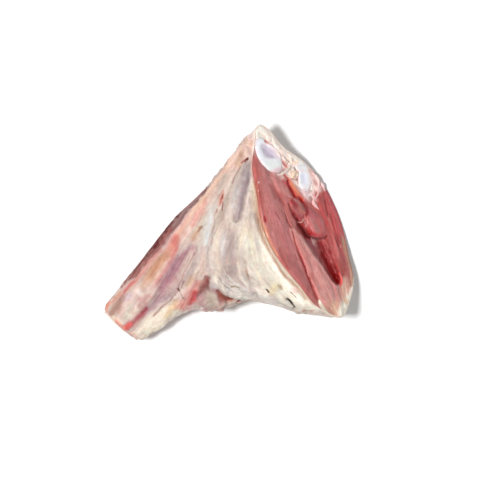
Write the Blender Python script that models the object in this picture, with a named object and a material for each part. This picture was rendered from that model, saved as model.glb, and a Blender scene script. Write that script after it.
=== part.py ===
# Raw mutton shank, lying on its flank with the cut muscle tilted up towards +X.
# Two solids: the meat, one fan-shaped piece from the sawn shin end to the big oblique cut, and the shin
# bone, which runs through it from the sawn end to the knuckle that shows at the top of the cut.
# +X runs along the shank from the sawn end to the cut, +Y is the shin side, +Z is up. The origin is at the
# middle of the box, on the surface that the shank lies on.

import bmesh
import bpy
import numpy as np

MM = 0.001

# Driving dimensions, in millimetres.
# The meat is a row of closed sections between two edges seen from above: the shin edge, over the bone, and
# the calf edge, where the muscle hangs. Each station gives one section.
STATION = [0.00, 0.12, 0.25, 0.36, 0.46, 0.58, 0.72, 0.86, 1.00]
SHIN_EDGE_X = [-97.0, -78.5, -58.0, -36.5, -18.0, 4.5, 28.0, 51.5, 72.8]
SHIN_EDGE_Y = [13.0, 20.8, 29.6, 38.8, 46.6, 52.6, 60.0, 70.0, 77.3]
CALF_EDGE_X = [-86.0, -68.0, -48.0, -32.0, -17.0, 2.0, 18.5, 37.0, 58.0]
CALF_EDGE_Y = [-21.0, -21.2, -18.8, -23.5, -30.8, -34.8, -47.5, -63.5, -78.8]
SAW_BULGE = 2.0  # how far the middle of the sawn end stands out
AXIS_HEIGHT = [15.5, 16.5, 18.5, 21.0, 23.5, 26.5, 29.5, 32.0, 34.0]
TOP_HEIGHT = [15.0, 16.0, 18.5, 21.5, 25.0, 30.0, 36.5, 41.0, 43.5]
BELLY_DEPTH = [16.0, 17.0, 19.0, 22.0, 26.0, 31.0, 37.0, 42.0, 44.0]
CUT_TILT = 42.0  # degrees that the cut leans back from upright
LEAN_POWER = 1.3  # how late the sections take up that lean, as a power of the station

# The rim of the cut, as a share of its length from the shin edge to the calf edge, and how full it is there.
RIM_TOP_AT = [0.0, 0.06, 0.15, 0.30, 0.45, 0.56, 0.70, 0.80, 0.88, 1.0]
RIM_TOP_FULL = [0.50, 0.56, 0.77, 0.85, 0.98, 1.0, 0.91, 0.84, 0.86, 0.65]
RIM_BELLY_AT = [0.0, 0.13, 0.24, 0.38, 0.55, 0.75, 0.90, 1.0]
RIM_BELLY_FULL = [0.50, 0.50, 0.82, 0.97, 1.0, 0.94, 0.95, 0.64]
RIM_BELLY_REACH = 4.0  # how quickly the belly fills out behind the rim, as a power of the station

# The bone: the middle of its shaft and its half thickness, from the sawn end to the knuckle.
SHAFT_AT = [0.00, 0.20, 0.45, 0.70, 0.86, 1.00]
SHAFT_X = [-94.0, -58.0, -14.0, 28.0, 53.0, 75.5]
SHAFT_Y = [0.0, 12.0, 28.0, 40.0, 42.0, 41.8]
SHAFT_Z = [15.0, 17.0, 20.5, 24.5, 27.5, 27.5]
SHAFT_ACROSS = [10.5, 9.5, 10.0, 11.5, 16.0, 28.0]
SHAFT_THROUGH = [8.5, 8.0, 8.5, 9.5, 11.0, 12.5]
KNUCKLE_TURN = 37.0  # degrees that the knuckle's long way is turned in the cut, from across towards the belly
KNUCKLE_TURN_POWER = 1.6  # how late the bone's sections take up that turn
CONDYLE_RISE = 4.5  # how far each rounded end stands out of the saddle between them
SADDLE_RISE = 1.0  # how far the saddle stands out of the cut
CONDYLE_APART = 18.0  # from the knuckle's middle to each rounded end's middle
CONDYLE_SPREAD = 11.0  # how broad each rounded end is
GAP = 0.3  # between the bone and the meat round it
CHANNEL_OVERRUN = 3.0  # how far the bone's channel is cut past both of its ends

TO_ORIGIN = [1.0, 0.8, 0.0]  # brings the middle of the box over the origin

# How fine the solids are.
AROUND = 84
ALONG = 28
ACROSS_CUT = 24
BONE_AROUND = 28
BONE_ALONG = 16
BONE_CAP_RINGS = 6

# Grooves in the cut, each as a path in the cut's own plane: millimetres from its shin end, and up from its
# middle line, with how wide and how deep it is.
CUT_GROOVES = [
    {"path": [(66, 17), (74, 13), (97, 11), (116, 8), (137, 8)], "wide": 3.0, "deep": 2.6},
    {"path": [(77, 4), (84, 0), (91, -8), (90, -19)], "wide": 4.6, "deep": 3.6},
    {"path": [(93, -4), (106, -10), (119, -17), (128, -22)], "wide": 6.5, "deep": 7.5},
    {"path": [(72, -23), (86, -26), (106, -28), (124, -30)], "wide": 2.6, "deep": 2.4},
]
CUT_RELIEF_REACH = 0.15  # the share of the cut's width next to the rim over which its relief fades
CUT_SWELLS = [
    {"path": [(70, -8), (80, -14)], "wide": 9.0, "deep": -4.0},
    {"path": [(60, 6), (68, 1)], "wide": 6.0, "deep": -2.5},
    {"path": [(50, 22), (84, 24), (112, 18)], "wide": 13.0, "deep": -3.0},
    {"path": [(104, 4), (126, -4), (142, -6)], "wide": 9.0, "deep": -2.5},
]

# The skin's lower fold on the flank, seen from above, and how far the flap of sinew below it lies back.
FOLD_X = [-27.0, -18.0, -9.0, 1.0, 14.0]
FOLD_Y = [-3.0, -14.0, -25.5, -33.5, -41.0]
FOLD_STEP = 7.0
FOLD_SOFT = 2.5
FOLD_RUN_IN = 8.0
FOLD_RUN_OUT = 14.0
# Grooves along the flank: between shin bone and muscle, and where the skin gathers.
RELIEF_FADE = 0.06  # the last share of the shank over which the flank's relief fades to the clean rim
FLANK_GROOVES = [
    {"path": [(-14, 31), (-36, 20), (-56, 8), (-78, -4)], "wide": 4.0, "deep": 1.8},
    {"path": [(33, 52), (22, 34), (12, 14)], "wide": 5.0, "deep": 2.2},
    {"path": [(6, 42), (-6, 24), (-18, 4)], "wide": 5.0, "deep": 1.6},
]
FLANK_SWELLS = [
    {"path": [(44, 60), (4, 41), (-30, 27), (-62, 13)], "wide": 6.0, "deep": -1.6},
    {"path": [(26, -6), (30, -38)], "wide": 16.0, "deep": -2.5},
]

MEAT_COLOUR = (0.53, 0.22, 0.19)
BONE_COLOUR = (0.86, 0.82, 0.84)


def smooth_curve(places, values, at):
    """Values read off a smooth curve through the given ones, with each slope from the two neighbours."""
    places = np.asarray(places, float)
    values = np.asarray(values, float)
    slopes = np.gradient(values, places)
    i = np.clip(np.searchsorted(places, at, side="right") - 1, 0, len(places) - 2)
    width = places[i + 1] - places[i]
    f = (at - places[i]) / width
    rest = 1 - f
    return (
        values[i] * (1 + 2 * f) * rest**2
        + values[i + 1] * (3 - 2 * f) * f**2
        + width * slopes[i] * f * rest**2
        - width * slopes[i + 1] * f**2 * rest
    )


def distance_to_path(x, y, path):
    """How far each point of a plane lies from a path of straight runs."""
    nearest = np.full(np.shape(x), np.inf)
    for (x0, y0), (x1, y1) in zip(path[:-1], path[1:]):
        run_x = x1 - x0
        run_y = y1 - y0
        share = np.clip(((x - x0) * run_x + (y - y0) * run_y) / (run_x**2 + run_y**2), 0, 1)
        nearest = np.minimum(nearest, np.hypot(x - x0 - share * run_x, y - y0 - share * run_y))
    return nearest


def sunk_by(x, y, strokes):
    """How deep the strokes cut at each point: each is a rounded trough along its path, or a swelling."""
    depth = np.zeros(np.shape(x))
    for stroke in strokes:
        away = distance_to_path(x, y, stroke["path"])
        depth += stroke["deep"] * np.exp(-((away / stroke["wide"]) ** 2))
    return depth


def section_frame(s):
    """Each section's shin edge, the way across it and its length, and the way up within its plane."""
    shin = np.stack([smooth_curve(STATION, SHIN_EDGE_X, s), smooth_curve(STATION, SHIN_EDGE_Y, s)], -1)
    calf = np.stack([smooth_curve(STATION, CALF_EDGE_X, s), smooth_curve(STATION, CALF_EDGE_Y, s)], -1)
    length = np.linalg.norm(calf - shin, axis=-1)
    across = (calf - shin) / length[..., None]
    lean = np.radians(CUT_TILT) * s**LEAN_POWER
    level = np.zeros_like(length)
    up = np.stack([across[..., 1] * np.sin(lean), -across[..., 0] * np.sin(lean), np.cos(lean)], -1)
    across = np.stack([across[..., 0], across[..., 1], level], -1)
    shin = np.stack([shin[..., 0], shin[..., 1], smooth_curve(STATION, AXIS_HEIGHT, s)], -1)
    return shin, across, length, up


def edge_heights(s, share):
    """How high the section's top and how low its belly lies off its middle line, at a share of its length."""
    bow = 2 * np.sqrt(np.clip(share * (1 - share), 0, 1))
    top = 1 - s + s * smooth_curve(RIM_TOP_AT, RIM_TOP_FULL, share)
    near_cut = s**RIM_BELLY_REACH
    belly = 1 - near_cut + near_cut * smooth_curve(RIM_BELLY_AT, RIM_BELLY_FULL, share)
    top = bow * top * smooth_curve(STATION, TOP_HEIGHT, s)
    belly = bow * belly * smooth_curve(STATION, BELLY_DEPTH, s)
    return top, belly


def flank_relief(points, upper):
    """How far the flank's top side is lowered by its folds and grooves, seen from above."""
    x = points[..., 0]
    y = points[..., 1]
    fold_y = np.interp(x, FOLD_X, FOLD_Y)
    below = 1 / (1 + np.exp(-(fold_y - y) / FOLD_SOFT))
    along = np.clip((x - FOLD_X[0]) / FOLD_RUN_IN, 0, 1) * np.clip((FOLD_X[-1] - x) / FOLD_RUN_OUT, 0, 1)
    sunk = FOLD_STEP * below * along + sunk_by(x, y, FLANK_GROOVES + FLANK_SWELLS)
    return sunk * upper


def flank_points():
    """The outside of the meat as a grid: one row for each section, one column for each angle round it."""
    turns = np.arange(AROUND) * 2 * np.pi / AROUND
    s, angle = np.meshgrid(np.linspace(0, 1, ALONG + 1), turns, indexing="ij")
    shin, across, length, up = section_frame(s)
    share = (1 - np.cos(angle)) / 2
    top, belly = edge_heights(s, share)
    height = np.where(np.sin(angle) >= 0, top, -belly)
    points = shin + across * (length * share)[..., None] + up * height[..., None]
    fade = np.clip(np.sin(angle), 0, 1) ** 0.5 * np.clip((1 - s) / RELIEF_FADE, 0, 1)
    points[..., 2] -= flank_relief(points, fade)
    points[..., 2] = np.maximum(points[..., 2], 0)
    return points


def cut_points(rim):
    """The cut face as a grid from the belly side of the rim to its top side, hollowed by its grooves."""
    half = AROUND // 2
    top_side = rim[1:half]
    belly_side = rim[-1:half:-1]
    share = np.linspace(0, 1, ACROSS_CUT + 1)[1:-1, None, None]
    points = belly_side * (1 - share) + top_side * share
    shin, across, _, up = section_frame(np.array(1.0))
    outward = np.cross(up, across)
    along_cut = (points - shin) @ across
    up_cut = (points - shin) @ up
    from_rim = np.minimum(share[..., 0], 1 - share[..., 0])
    inside = np.clip(from_rim / CUT_RELIEF_REACH, 0, 1)
    return points - outward * (inside * sunk_by(along_cut, up_cut, CUT_GROOVES + CUT_SWELLS))[..., None]


def ring_faces(rows, columns):
    """Quads between the rows of a grid whose columns close on themselves."""
    row, column = np.meshgrid(np.arange(rows - 1), np.arange(columns), indexing="ij")
    beside = (column + 1) % columns
    first = row * columns
    corners = [first + column, first + columns + column, first + columns + beside, first + beside]
    return np.stack([c.ravel() for c in corners], -1).tolist()


def cut_faces(rim_start, cap_start):
    """Quads of the cut grid, with its outer rows on the rim and its two ends closed at the edges' tips."""
    half = AROUND // 2
    columns = half - 1
    rows = ACROSS_CUT + 1

    def vertex(row, column):
        if column == 0:
            return rim_start
        if column == half:
            return rim_start + half
        if row == 0:
            return rim_start + AROUND - column
        if row == rows - 1:
            return rim_start + column
        return cap_start + (row - 1) * columns + column - 1

    faces = []
    for row in range(rows - 1):
        for column in range(half):
            near = [vertex(row, column), vertex(row, column + 1)]
            far = [vertex(row + 1, column + 1), vertex(row + 1, column)]
            faces.append(list(dict.fromkeys(near + far)))
    return faces


def bone_frame(s, grow):
    """The shaft's middle, its half widths and the two ways across it, at each share of its length."""
    middle = np.stack([smooth_curve(SHAFT_AT, v, s) for v in (SHAFT_X, SHAFT_Y, SHAFT_Z)], -1)
    wide = smooth_curve(SHAFT_AT, SHAFT_ACROSS, s) + grow
    thick = smooth_curve(SHAFT_AT, SHAFT_THROUGH, s) + grow
    _, start_across, _, start_up = section_frame(np.array(0.0))
    _, end_across, _, end_up = section_frame(np.array(1.0))
    turn = np.radians(KNUCKLE_TURN)
    far_across = end_across * np.cos(turn) - end_up * np.sin(turn)
    share = (s**KNUCKLE_TURN_POWER)[..., None]
    across = start_across * (1 - share) + far_across * share
    across /= np.linalg.norm(across, axis=-1, keepdims=True)
    up = start_up * (1 - share) + (end_up * np.cos(turn) + end_across * np.sin(turn)) * share
    up -= across * np.sum(up * across, -1, keepdims=True)
    up /= np.linalg.norm(up, axis=-1, keepdims=True)
    return middle, wide, thick, across, up


def bone_mesh(name, grow, overrun):
    """The bone as one skin from the saw to the knuckle, whose two rounded ends rise out of a saddle."""
    turns = np.arange(BONE_AROUND) * 2 * np.pi / BONE_AROUND
    s, angle = np.meshgrid(np.linspace(0, 1, BONE_ALONG + 1), turns, indexing="ij")
    middle, wide, thick, across, up = bone_frame(s, grow)
    shaft = middle + across * (wide * np.cos(angle))[..., None] + up * (thick * np.sin(angle))[..., None]
    _, cut_across, _, cut_up = section_frame(np.array(1.0))
    outward = np.cross(cut_up, cut_across)
    _, saw_across, _, saw_up = section_frame(np.array(0.0))
    shaft[0] -= np.cross(saw_up, saw_across) * overrun

    share = np.linspace(1, 0, BONE_CAP_RINGS + 1)[1:-1, None]
    side = share * wide[-1] * np.cos(angle[-1])
    through = share * thick[-1] * np.sin(angle[-1])
    hump = np.exp(-((np.abs(side) - CONDYLE_APART) ** 2 + through**2) / CONDYLE_SPREAD**2)
    rise = (CONDYLE_RISE * hump + SADDLE_RISE) * np.sqrt(1 - share**2) + grow + overrun
    cap = middle[-1] + across[-1] * side[..., None] + up[-1] * through[..., None] + outward * rise[..., None]
    tip = middle[-1, 0] + outward * (SADDLE_RISE + grow + overrun)

    saw_middle = shaft[0].mean(axis=0) - np.cross(saw_up, saw_across) * SAW_BULGE / 2
    points = np.concatenate([shaft.reshape(-1, 3), cap.reshape(-1, 3), [tip, saw_middle]])
    rows = BONE_ALONG + BONE_CAP_RINGS
    faces = ring_faces(rows, BONE_AROUND)
    last = (rows - 1) * BONE_AROUND
    top = rows * BONE_AROUND
    for i in range(BONE_AROUND):
        beside = (i + 1) % BONE_AROUND
        faces.append([last + i, top, last + beside])
        faces.append([i, beside, top + 1])
    return make_mesh(name, points, faces)


def meat_mesh(name):
    """The meat's outside, its cut face and its sawn end as one closed skin."""
    flank = flank_points()
    cut = cut_points(flank[-1])
    _, saw_across, _, saw_up = section_frame(np.array(0.0))
    saw_middle = flank[0].mean(axis=0) - np.cross(saw_up, saw_across) * SAW_BULGE
    points = np.concatenate([flank.reshape(-1, 3), cut.reshape(-1, 3), [saw_middle]])
    rim_start = ALONG * AROUND
    faces = ring_faces(ALONG + 1, AROUND)
    faces += cut_faces(rim_start, rim_start + AROUND)
    saw = len(points) - 1
    for i in range(AROUND):
        faces.append([i, (i + 1) % AROUND, saw])
    return make_mesh(name, points, faces)


def make_mesh(name, points, faces):
    """A mesh in metres from points in millimetres, in triangles that face outwards."""
    mesh = bpy.data.meshes.new(name)
    mesh.from_pydata(((points + TO_ORIGIN) * MM).tolist(), [], faces)
    work = bmesh.new()
    work.from_mesh(mesh)
    bmesh.ops.triangulate(work, faces=work.faces[:])
    bmesh.ops.recalc_face_normals(work, faces=work.faces[:])
    work.to_mesh(mesh)
    work.free()
    mesh.shade_smooth()
    mesh.set_sharp_from_angle(angle=np.radians(50))
    return mesh


def make_material(name, colour, roughness):
    material = bpy.data.materials.new(name)
    material.use_nodes = True
    shader = material.node_tree.nodes["Principled BSDF"]
    shader.inputs["Base Color"].default_value = (*colour, 1)
    shader.inputs["Roughness"].default_value = roughness
    shader.inputs["Metallic"].default_value = 0.0
    return material


def add_object(name, mesh, material):
    piece = bpy.data.objects.new(name, mesh)
    bpy.context.scene.collection.objects.link(piece)
    mesh.materials.append(material)
    return piece


def main():
    for old in list(bpy.data.objects):
        bpy.data.objects.remove(old)

    meat_look = make_material("raw_meat", MEAT_COLOUR, 0.45)
    bone_look = make_material("bone_and_cartilage", BONE_COLOUR, 0.3)

    meat = add_object("meat", meat_mesh("meat"), meat_look)
    add_object("shin_bone", bone_mesh("shin_bone", 0.0, 0.0), bone_look)
    channel = add_object("bone_channel", bone_mesh("bone_channel", GAP, CHANNEL_OVERRUN), bone_look)
    channel.hide_render = True
    channel.display_type = "WIRE"

    cut = meat.modifiers.new("bone_channel", "BOOLEAN")
    cut.operation = "DIFFERENCE"
    cut.object = channel


main()
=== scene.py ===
# Raw mutton shank on a pale table, seen from straight above.
# Shapes are worked out in millimetres and turned to metres when their mesh is made.
import bpy
import numpy as np
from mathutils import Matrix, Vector


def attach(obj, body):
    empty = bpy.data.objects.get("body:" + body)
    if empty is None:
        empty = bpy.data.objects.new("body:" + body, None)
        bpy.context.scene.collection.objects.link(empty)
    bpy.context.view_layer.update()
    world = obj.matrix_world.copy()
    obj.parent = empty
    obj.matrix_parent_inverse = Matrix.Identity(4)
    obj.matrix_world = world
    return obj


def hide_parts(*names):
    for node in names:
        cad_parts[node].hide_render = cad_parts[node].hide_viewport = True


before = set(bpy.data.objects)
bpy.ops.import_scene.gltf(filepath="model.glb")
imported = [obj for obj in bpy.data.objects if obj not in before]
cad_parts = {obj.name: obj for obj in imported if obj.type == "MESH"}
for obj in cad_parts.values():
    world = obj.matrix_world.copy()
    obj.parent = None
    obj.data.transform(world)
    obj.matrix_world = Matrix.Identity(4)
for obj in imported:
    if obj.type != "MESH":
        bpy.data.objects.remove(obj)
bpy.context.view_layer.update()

metre = 0.001

# How the photograph sees the shank: straight down, turned so that the shank runs up to the right.
view = {
    "mmPerPixel": 0.75,
    "turn": -28.69,              # degrees
    "middle": (22.9, -0.9),      # the spot under the middle of the picture
    "middlePixel": (250.0, 250.0),
    "focusHeight": 30.0,
    "lens": 150.0,
    "sensor": 36.0,
    "pictureWidth": 375.0,       # what the picture spans at the focus height
}

# The meat: closed sections from the sawn end (0) to the cut (1), between its shin edge and its calf edge.
shank = {
    "station": [0.00, 0.12, 0.25, 0.36, 0.46, 0.58, 0.72, 0.86, 1.00],
    "shinX": [-97.0, -78.5, -58.0, -36.5, -18.0, 4.5, 28.0, 51.5, 72.8],
    "shinY": [13.0, 20.8, 29.6, 38.8, 46.6, 52.6, 60.0, 70.0, 77.3],
    "calfX": [-86.0, -68.0, -48.0, -32.0, -17.0, 2.0, 18.5, 37.0, 58.0],
    "calfY": [-21.0, -21.2, -18.8, -23.5, -30.8, -34.8, -47.5, -63.5, -78.8],
    "axisHeight": [15.5, 16.5, 18.5, 21.0, 23.5, 26.5, 29.5, 32.0, 34.0],
    "topHeight": [15.0, 16.0, 18.5, 21.5, 25.0, 30.0, 36.5, 41.0, 43.5],
    "bellyDepth": [16.0, 17.0, 19.0, 22.0, 26.0, 31.0, 37.0, 42.0, 44.0],
    "cutTilt": 42.0,
    "leanPower": 1.3,
    "rimTopAt": [0.0, 0.06, 0.15, 0.30, 0.45, 0.56, 0.70, 0.80, 0.88, 1.0],
    "rimTopFull": [0.50, 0.56, 0.77, 0.85, 0.98, 1.0, 0.91, 0.84, 0.86, 0.65],
    "rimBellyAt": [0.0, 0.13, 0.24, 0.38, 0.55, 0.75, 0.90, 1.0],
    "rimBellyFull": [0.50, 0.50, 0.82, 0.97, 1.0, 0.94, 0.95, 0.64],
    "rimBellyReach": 4.0,
    "toOrigin": (1.0, 0.8, 0.0),
    "around": 330,               # points round each section
    "closer": 0.4,               # how much closer they stand on the side that shows
    "along": 232,                # sections
    "sawRings": 14,              # rings over the sawn end
    "sawRound": (1.6, 0.035),    # how far the saw's edge is rounded off, and over which share of the length
    "sawBulge": 1.2,
    "lip": [(0.35, 0.25), (0.8, -0.2), (1.3, -2.2), (2.6, -8.0)],  # the skin's edge: how far in, how far out
    "lipRings": 6,
    "lipDepth": 3.0,
}

# The skin's colours, and its noise: size in millimetres, seed, and octaves.
skinLook = {
    "ground": (222, 203, 192),
    "underside": (228, 210, 196),
    # The underside's patches: their noise, how much wide streaks add, where they start and are full, colour.
    "meaty": ((26, 16, 3), 0.45, 0.0, 0.45, (196, 128, 120)),
    "fatty": ((18, 17, 2), -0.3, 0.25, 0.6, (240, 226, 204)),
    "lip": (226, 204, 182),
    "sawMeat": (182, 98, 92),
    "sawFat": (232, 182, 162),
    "streak": (2.6, 14, 3),
    "wide": (9, 15, 3),
    "hair": (1.5, 12, 2),
    "mottle": (2.4, 20, 2),
    "shade": {"streak": 0.10, "wide": 0.05, "hair": 0.08},
    "mottleTint": (0.04, 0.09, 0.09),
    "relief": {"streak": 0.24, "wide": 0.45, "hair": 0.10, "mottle": 0.08},
    "swell": (15, 18, 3),
    "swellHeight": 0.55,
    "ragged": (6, 19, 3),
    "raggedBy": (0.10, 0.22),    # how much the streaks and this noise fray the strokes
    "softer": 0.25,
    "grainDepth": 0.6,
    "fray": (11, 0.8, 0.40),     # seed, how far along the fibres, how far in any direction
    "steepFray": 2.2,
    "steepDrift": (9, 9, 3),
    "steepDriftBy": 2.5,
    "steep": (0.75, 0.35),       # the normal's height where sides begin to be steep and where they are
    "upperFrom": (-0.45, 0.05),  # the sine of the angle where the upper side starts and where it is full
    "upperEdge": (10, 8, 3),
    "upperEdgeBy": 0.22,
    "tints": [((5, 13, 3), (-0.16, -0.18, -0.14)), ((6, 10, 3), (0.08, 0.06, -0.04))],  # cool, creamy
    "fadeAtCut": 0.04,
    "fadeAtSides": 0.35,
    "rimFrom": 0.985,
    "lipWaves": (5, 44, 3),
    "lipWavesBy": 0.5,
    "sawRough": (5, 41, 3),
    "sawRoughBy": 0.5,
    "sawEdge": (6, 42, 2),
    "sawEdgeBy": 0.06,
    "sawFatTo": (0.20, 0.08),
    "sawShade": (4, 43, 3),
    "sawShadeBy": 0.25,
}

# The skin's fold at the calf, below which the sinew lies lower.
fold = {
    "x": [-27.0, -18.0, -9.0, 1.0, 14.0],
    "y": [-3.0, -14.0, -25.5, -33.5, -41.0],
    "step": 7.0,
    "soft": 1.3,
    "runIn": 8.0,
    "runOut": 14.0,
}

cut = {
    "inset": 0.5,                # how far the muscle's edge lies inside the skin's
    "columns": 240,
    "rows": 150,
    "backDepth": 15.0,
    "backSize": 0.88,
    "backHeight": 2.0,
    "flatRim": 3.5,              # how far in from the rim the relief is full
    "endRoom": 40.0,
    "ground": (187, 110, 107),
    "streak": (2.2, 24, 3),
    "wide": (7, 25, 3),
    "hair": (1.4, 22, 2),
    "mottle": (2.2, 23, 2),
    "shade": {"streak": 0.10, "wide": 0.11, "hair": 0.13},
    "mottleTint": (0.05, 0.12, 0.12),
    "relief": {"streak": 0.22, "wide": 0.35, "hair": 0.12, "mottle": 0.10},
    "ragged": (5, 27, 3),
    "raggedBy": (0.10, 0.20),
    "softer": 0.15,
    "grainDepth": 0.1,
    "fray": (21, 1.0, 0.35),
    "lumps": (4, 26, 3),
    "lumpHeight": 0.9,
}

# The fat round the knuckle, painted and lumpy.
knuckleFat = {
    "path": [(256, 136), (268, 148), (281, 160), (296, 172), (308, 186)],
    "wide": [7, 12, 13, 12, 8],
    "soft": 0.3,                 # of the lumps
}

bone = {
    "at": [0.00, 0.20, 0.45, 0.70, 0.86, 1.00],
    "x": [-94.0, -58.0, -14.0, 28.0, 53.0, 75.5],
    "y": [0.0, 12.0, 28.0, 40.0, 42.0, 41.8],
    "z": [15.0, 17.0, 20.5, 24.5, 27.5, 27.5],
    "across": [10.5, 9.5, 10.0, 11.5, 16.0, 28.0],
    "through": [8.5, 8.0, 8.5, 9.5, 11.0, 12.5],
    "knuckleTurn": 37.0,
    "turnPower": 1.6,
    "endFrom": 0.9,              # the share of its length at which the knuckle's own end starts
    "saddle": -4.5,              # how far the knuckle's middle lies behind the cut
    "flare": 0.12,               # how much wider its end is there
    "proud": 0.3,                # how far the saw leaves it out of the meat
    "marrowDepth": 1.2,
    "around": 200,
    "along": 90,
    "capRings": 70,
    "sawRings": 10,
    "shaft": (234, 218, 204),
    "cap": (236, 212, 203),
    "ring": (234, 218, 202),
    "marrow": (150, 52, 44),
    "marrowTo": (0.66, 0.52),    # shares of the ring's radius
    "marrowSunk": (0.62, 0.5),
    "flatBorder": 0.10,
    "lumps": (6, 51, 3),
    "lumpHeight": 0.3,
}

# The two joint faces of the knuckle: cushions of cartilage set in the cut, by their outlines in the photo.
jointFace = {
    "left": [(258.5, 135.6), (262.8, 137.6), (265, 142), (271, 143.6), (277, 147.6), (281.4, 154),
             (283, 161.6), (283, 168.6), (279.4, 173.4), (273, 173.6), (266, 170.4), (260.4, 164.4),
             (256.4, 156.6), (254.2, 148.2), (254.4, 140.6)],
    "right": [(297.4, 162), (302.4, 160), (307.4, 163), (311.2, 170), (313.4, 178), (312.4, 186.6),
              (308.8, 191.8), (303.8, 191.4), (299.4, 186.4), (298.2, 178.4), (299, 171), (296.6, 166.6)],
    "around": 180,
    "rings": 70,
    "crowd": 1.7,                # how much closer the rings stand at the border
    "sink": 2.6,                 # how far the edge lies under the cut
    "crown": 1.7,                # how far the border stands over it
    "roundness": 7.0,
    "ground": (236, 236, 240),
    "border": (220, 196, 197),
    "borderStrength": 0.9,
    "borderFrom": (0.76, 0.97),
    "borderWaves": (3, 53, 2),
    "borderWavesBy": 0.08,
    "flatBorder": 0.15,
    "lumps": (4, 52, 3),
    "lumpHeight": 0.22,
}

# How much light reaches each side of the meat, what its wetness adds, and how dark and pale a base colour is.
lightOn = {
    "skin": 1.13,
    "cut": 0.88,
    "bone": 0.95,
    "sheen": 0.020,
    "limits": (0.003, 0.97),
}

# How strokes are laid: steps between a path's spots, and how far those wider than thin are spread.
brush = {
    "steps": 3,
    "thin": 1.3,
    "spread": 0.3,
    "leastSoft": 0.3,            # of a stroke's relief
    "beyond": 9.0,               # half widths at which nothing is left of it
}

# Fibres: how much longer they are than wide, how sharply the nearest guide wins, and what frays them.
fibres = {
    "stretch": 12.0,
    "blend": 6.0,
    "step": (4.0, 2),            # size and octaves
    "drift": (3.2, 3),
    "across": (1, 2, 1),         # hairs are this much finer
}
farAway = 1e9
latticeWidth = 32
octaveShift = 7.3


def smoothCurve(places, values, at):
    # a smooth curve through the values, its slope at each one taken from the two neighbours
    places = np.asarray(places, float)
    values = np.asarray(values, float)
    slopes = np.gradient(values, places)
    i = np.clip(np.searchsorted(places, at, side="right") - 1, 0, len(places) - 2)
    width = places[i + 1] - places[i]
    f = (at - places[i]) / width
    rest = 1 - f
    return (values[i] * (1 + 2 * f) * rest**2 + values[i + 1] * (3 - 2 * f) * f**2
            + width * slopes[i] * f * rest**2 - width * slopes[i + 1] * f**2 * rest)


def smoothStep(low, high, value):
    # 0 at low, 1 at high, and an S curve between
    f = np.clip((value - low) / (high - low), 0, 1)
    return f * f * (3 - 2 * f)


def cloud(points, size, seed, octaves):
    # soft noise from about -1 to 1: random numbers on a lattice of this size, blended with S curves, each
    # octave at half the size and half the height
    table = np.random.default_rng(seed).uniform(-1, 1, (latticeWidth, latticeWidth, latticeWidth))
    total = np.zeros(points.shape[:-1])
    for octave in range(octaves):
        place = points / (size / 2**octave) + octaveShift * octave
        cell = np.floor(place).astype(int)
        f = smoothStep(0, 1, place - cell)
        for corner in np.ndindex(2, 2, 2):
            share = np.prod(np.where(corner, f, 1 - f), axis=-1)
            index = (cell + corner) % latticeWidth
            total += share * table[index[..., 0], index[..., 1], index[..., 2]] / 2**octave
    return total


def seen(pixels):
    # the spots, seen from above, that these pixels of the photograph show
    away = (np.asarray(pixels, float) - view["middlePixel"]) * view["mmPerPixel"] * (1, -1)
    turn = np.radians(view["turn"])
    turned = [[np.cos(turn), np.sin(turn)], [-np.sin(turn), np.cos(turn)]]
    return view["middle"] + away @ turned


def baseOf(colour, light=1):
    # the base colour that shows as this one, 0 to 255 in sRGB, under this much light and with the wet sheen
    c = np.asarray(colour, float) / 255
    c = np.where(c <= 0.04045, c / 12.92, ((c + 0.055) / 1.055) ** 2.4)
    return np.clip(c / light - lightOn["sheen"], *lightOn["limits"])


def unit(v):
    return v / np.maximum(np.linalg.norm(v, axis=-1, keepdims=True), 1e-9)


def blended(under, over, share):
    return under * (1 - share) + over * share


# A stroke lays a colour, a rise in millimetres, or both along a path of the photograph's pixels. Each row is
# its name, path, half width in pixels (one number or one for each point), colour, rise, how much of its width
# the soft edge takes, and strength; what a row leaves out is filled in here.
def stroke(row):
    usual = (None, 0.0, 0.9, 1.0)
    return row + usual[len(row) - 3:]


def smoothPath(path, wide, steps=brush["steps"]):
    # a smooth curve through the path's spots, some steps to each stretch, and its half widths in millimetres
    spots = seen(path)
    widths = np.broadcast_to(np.asarray(wide, float), len(spots)) * view["mmPerPixel"]
    if len(spots) == 1:
        return np.concatenate([spots, spots + 0.01]), np.repeat(widths, 2)
    at = np.arange(len(spots))
    fine = np.linspace(0, len(spots) - 1, steps * (len(spots) - 1) + 1)
    curve = np.stack([smoothCurve(at, spots[:, k], fine) for k in range(2)], -1)
    return curve, np.interp(fine, at, widths)


def strokeWeight(plan, path, wide, soft, ragged=None):
    # 1 on the path and 0 beyond its half width, with an S curve over the soft edge, which noise makes ragged
    spots, widths = smoothPath(path, wide)
    reach = widths.max() * (1 + soft)
    close = ((plan > spots.min(axis=0) - reach) & (plan < spots.max(axis=0) + reach)).all(axis=1)
    near = plan[close]
    away = np.full(len(near), brush["beyond"])
    for start, end, startWide, endWide in zip(spots[:-1], spots[1:], widths[:-1], widths[1:]):
        run = end - start
        share = np.clip((near - start) @ run / (run @ run), 0, 1)
        gap = np.linalg.norm(near - start - share[:, None] * run, axis=1)
        away = np.minimum(away, gap / blended(startWide, endWide, share))
    if ragged is not None:
        away = away + ragged[close] * soft
    weight = np.zeros(len(plan))
    weight[close] = smoothStep(1 + soft, 1 - soft, away)
    return weight


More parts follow.
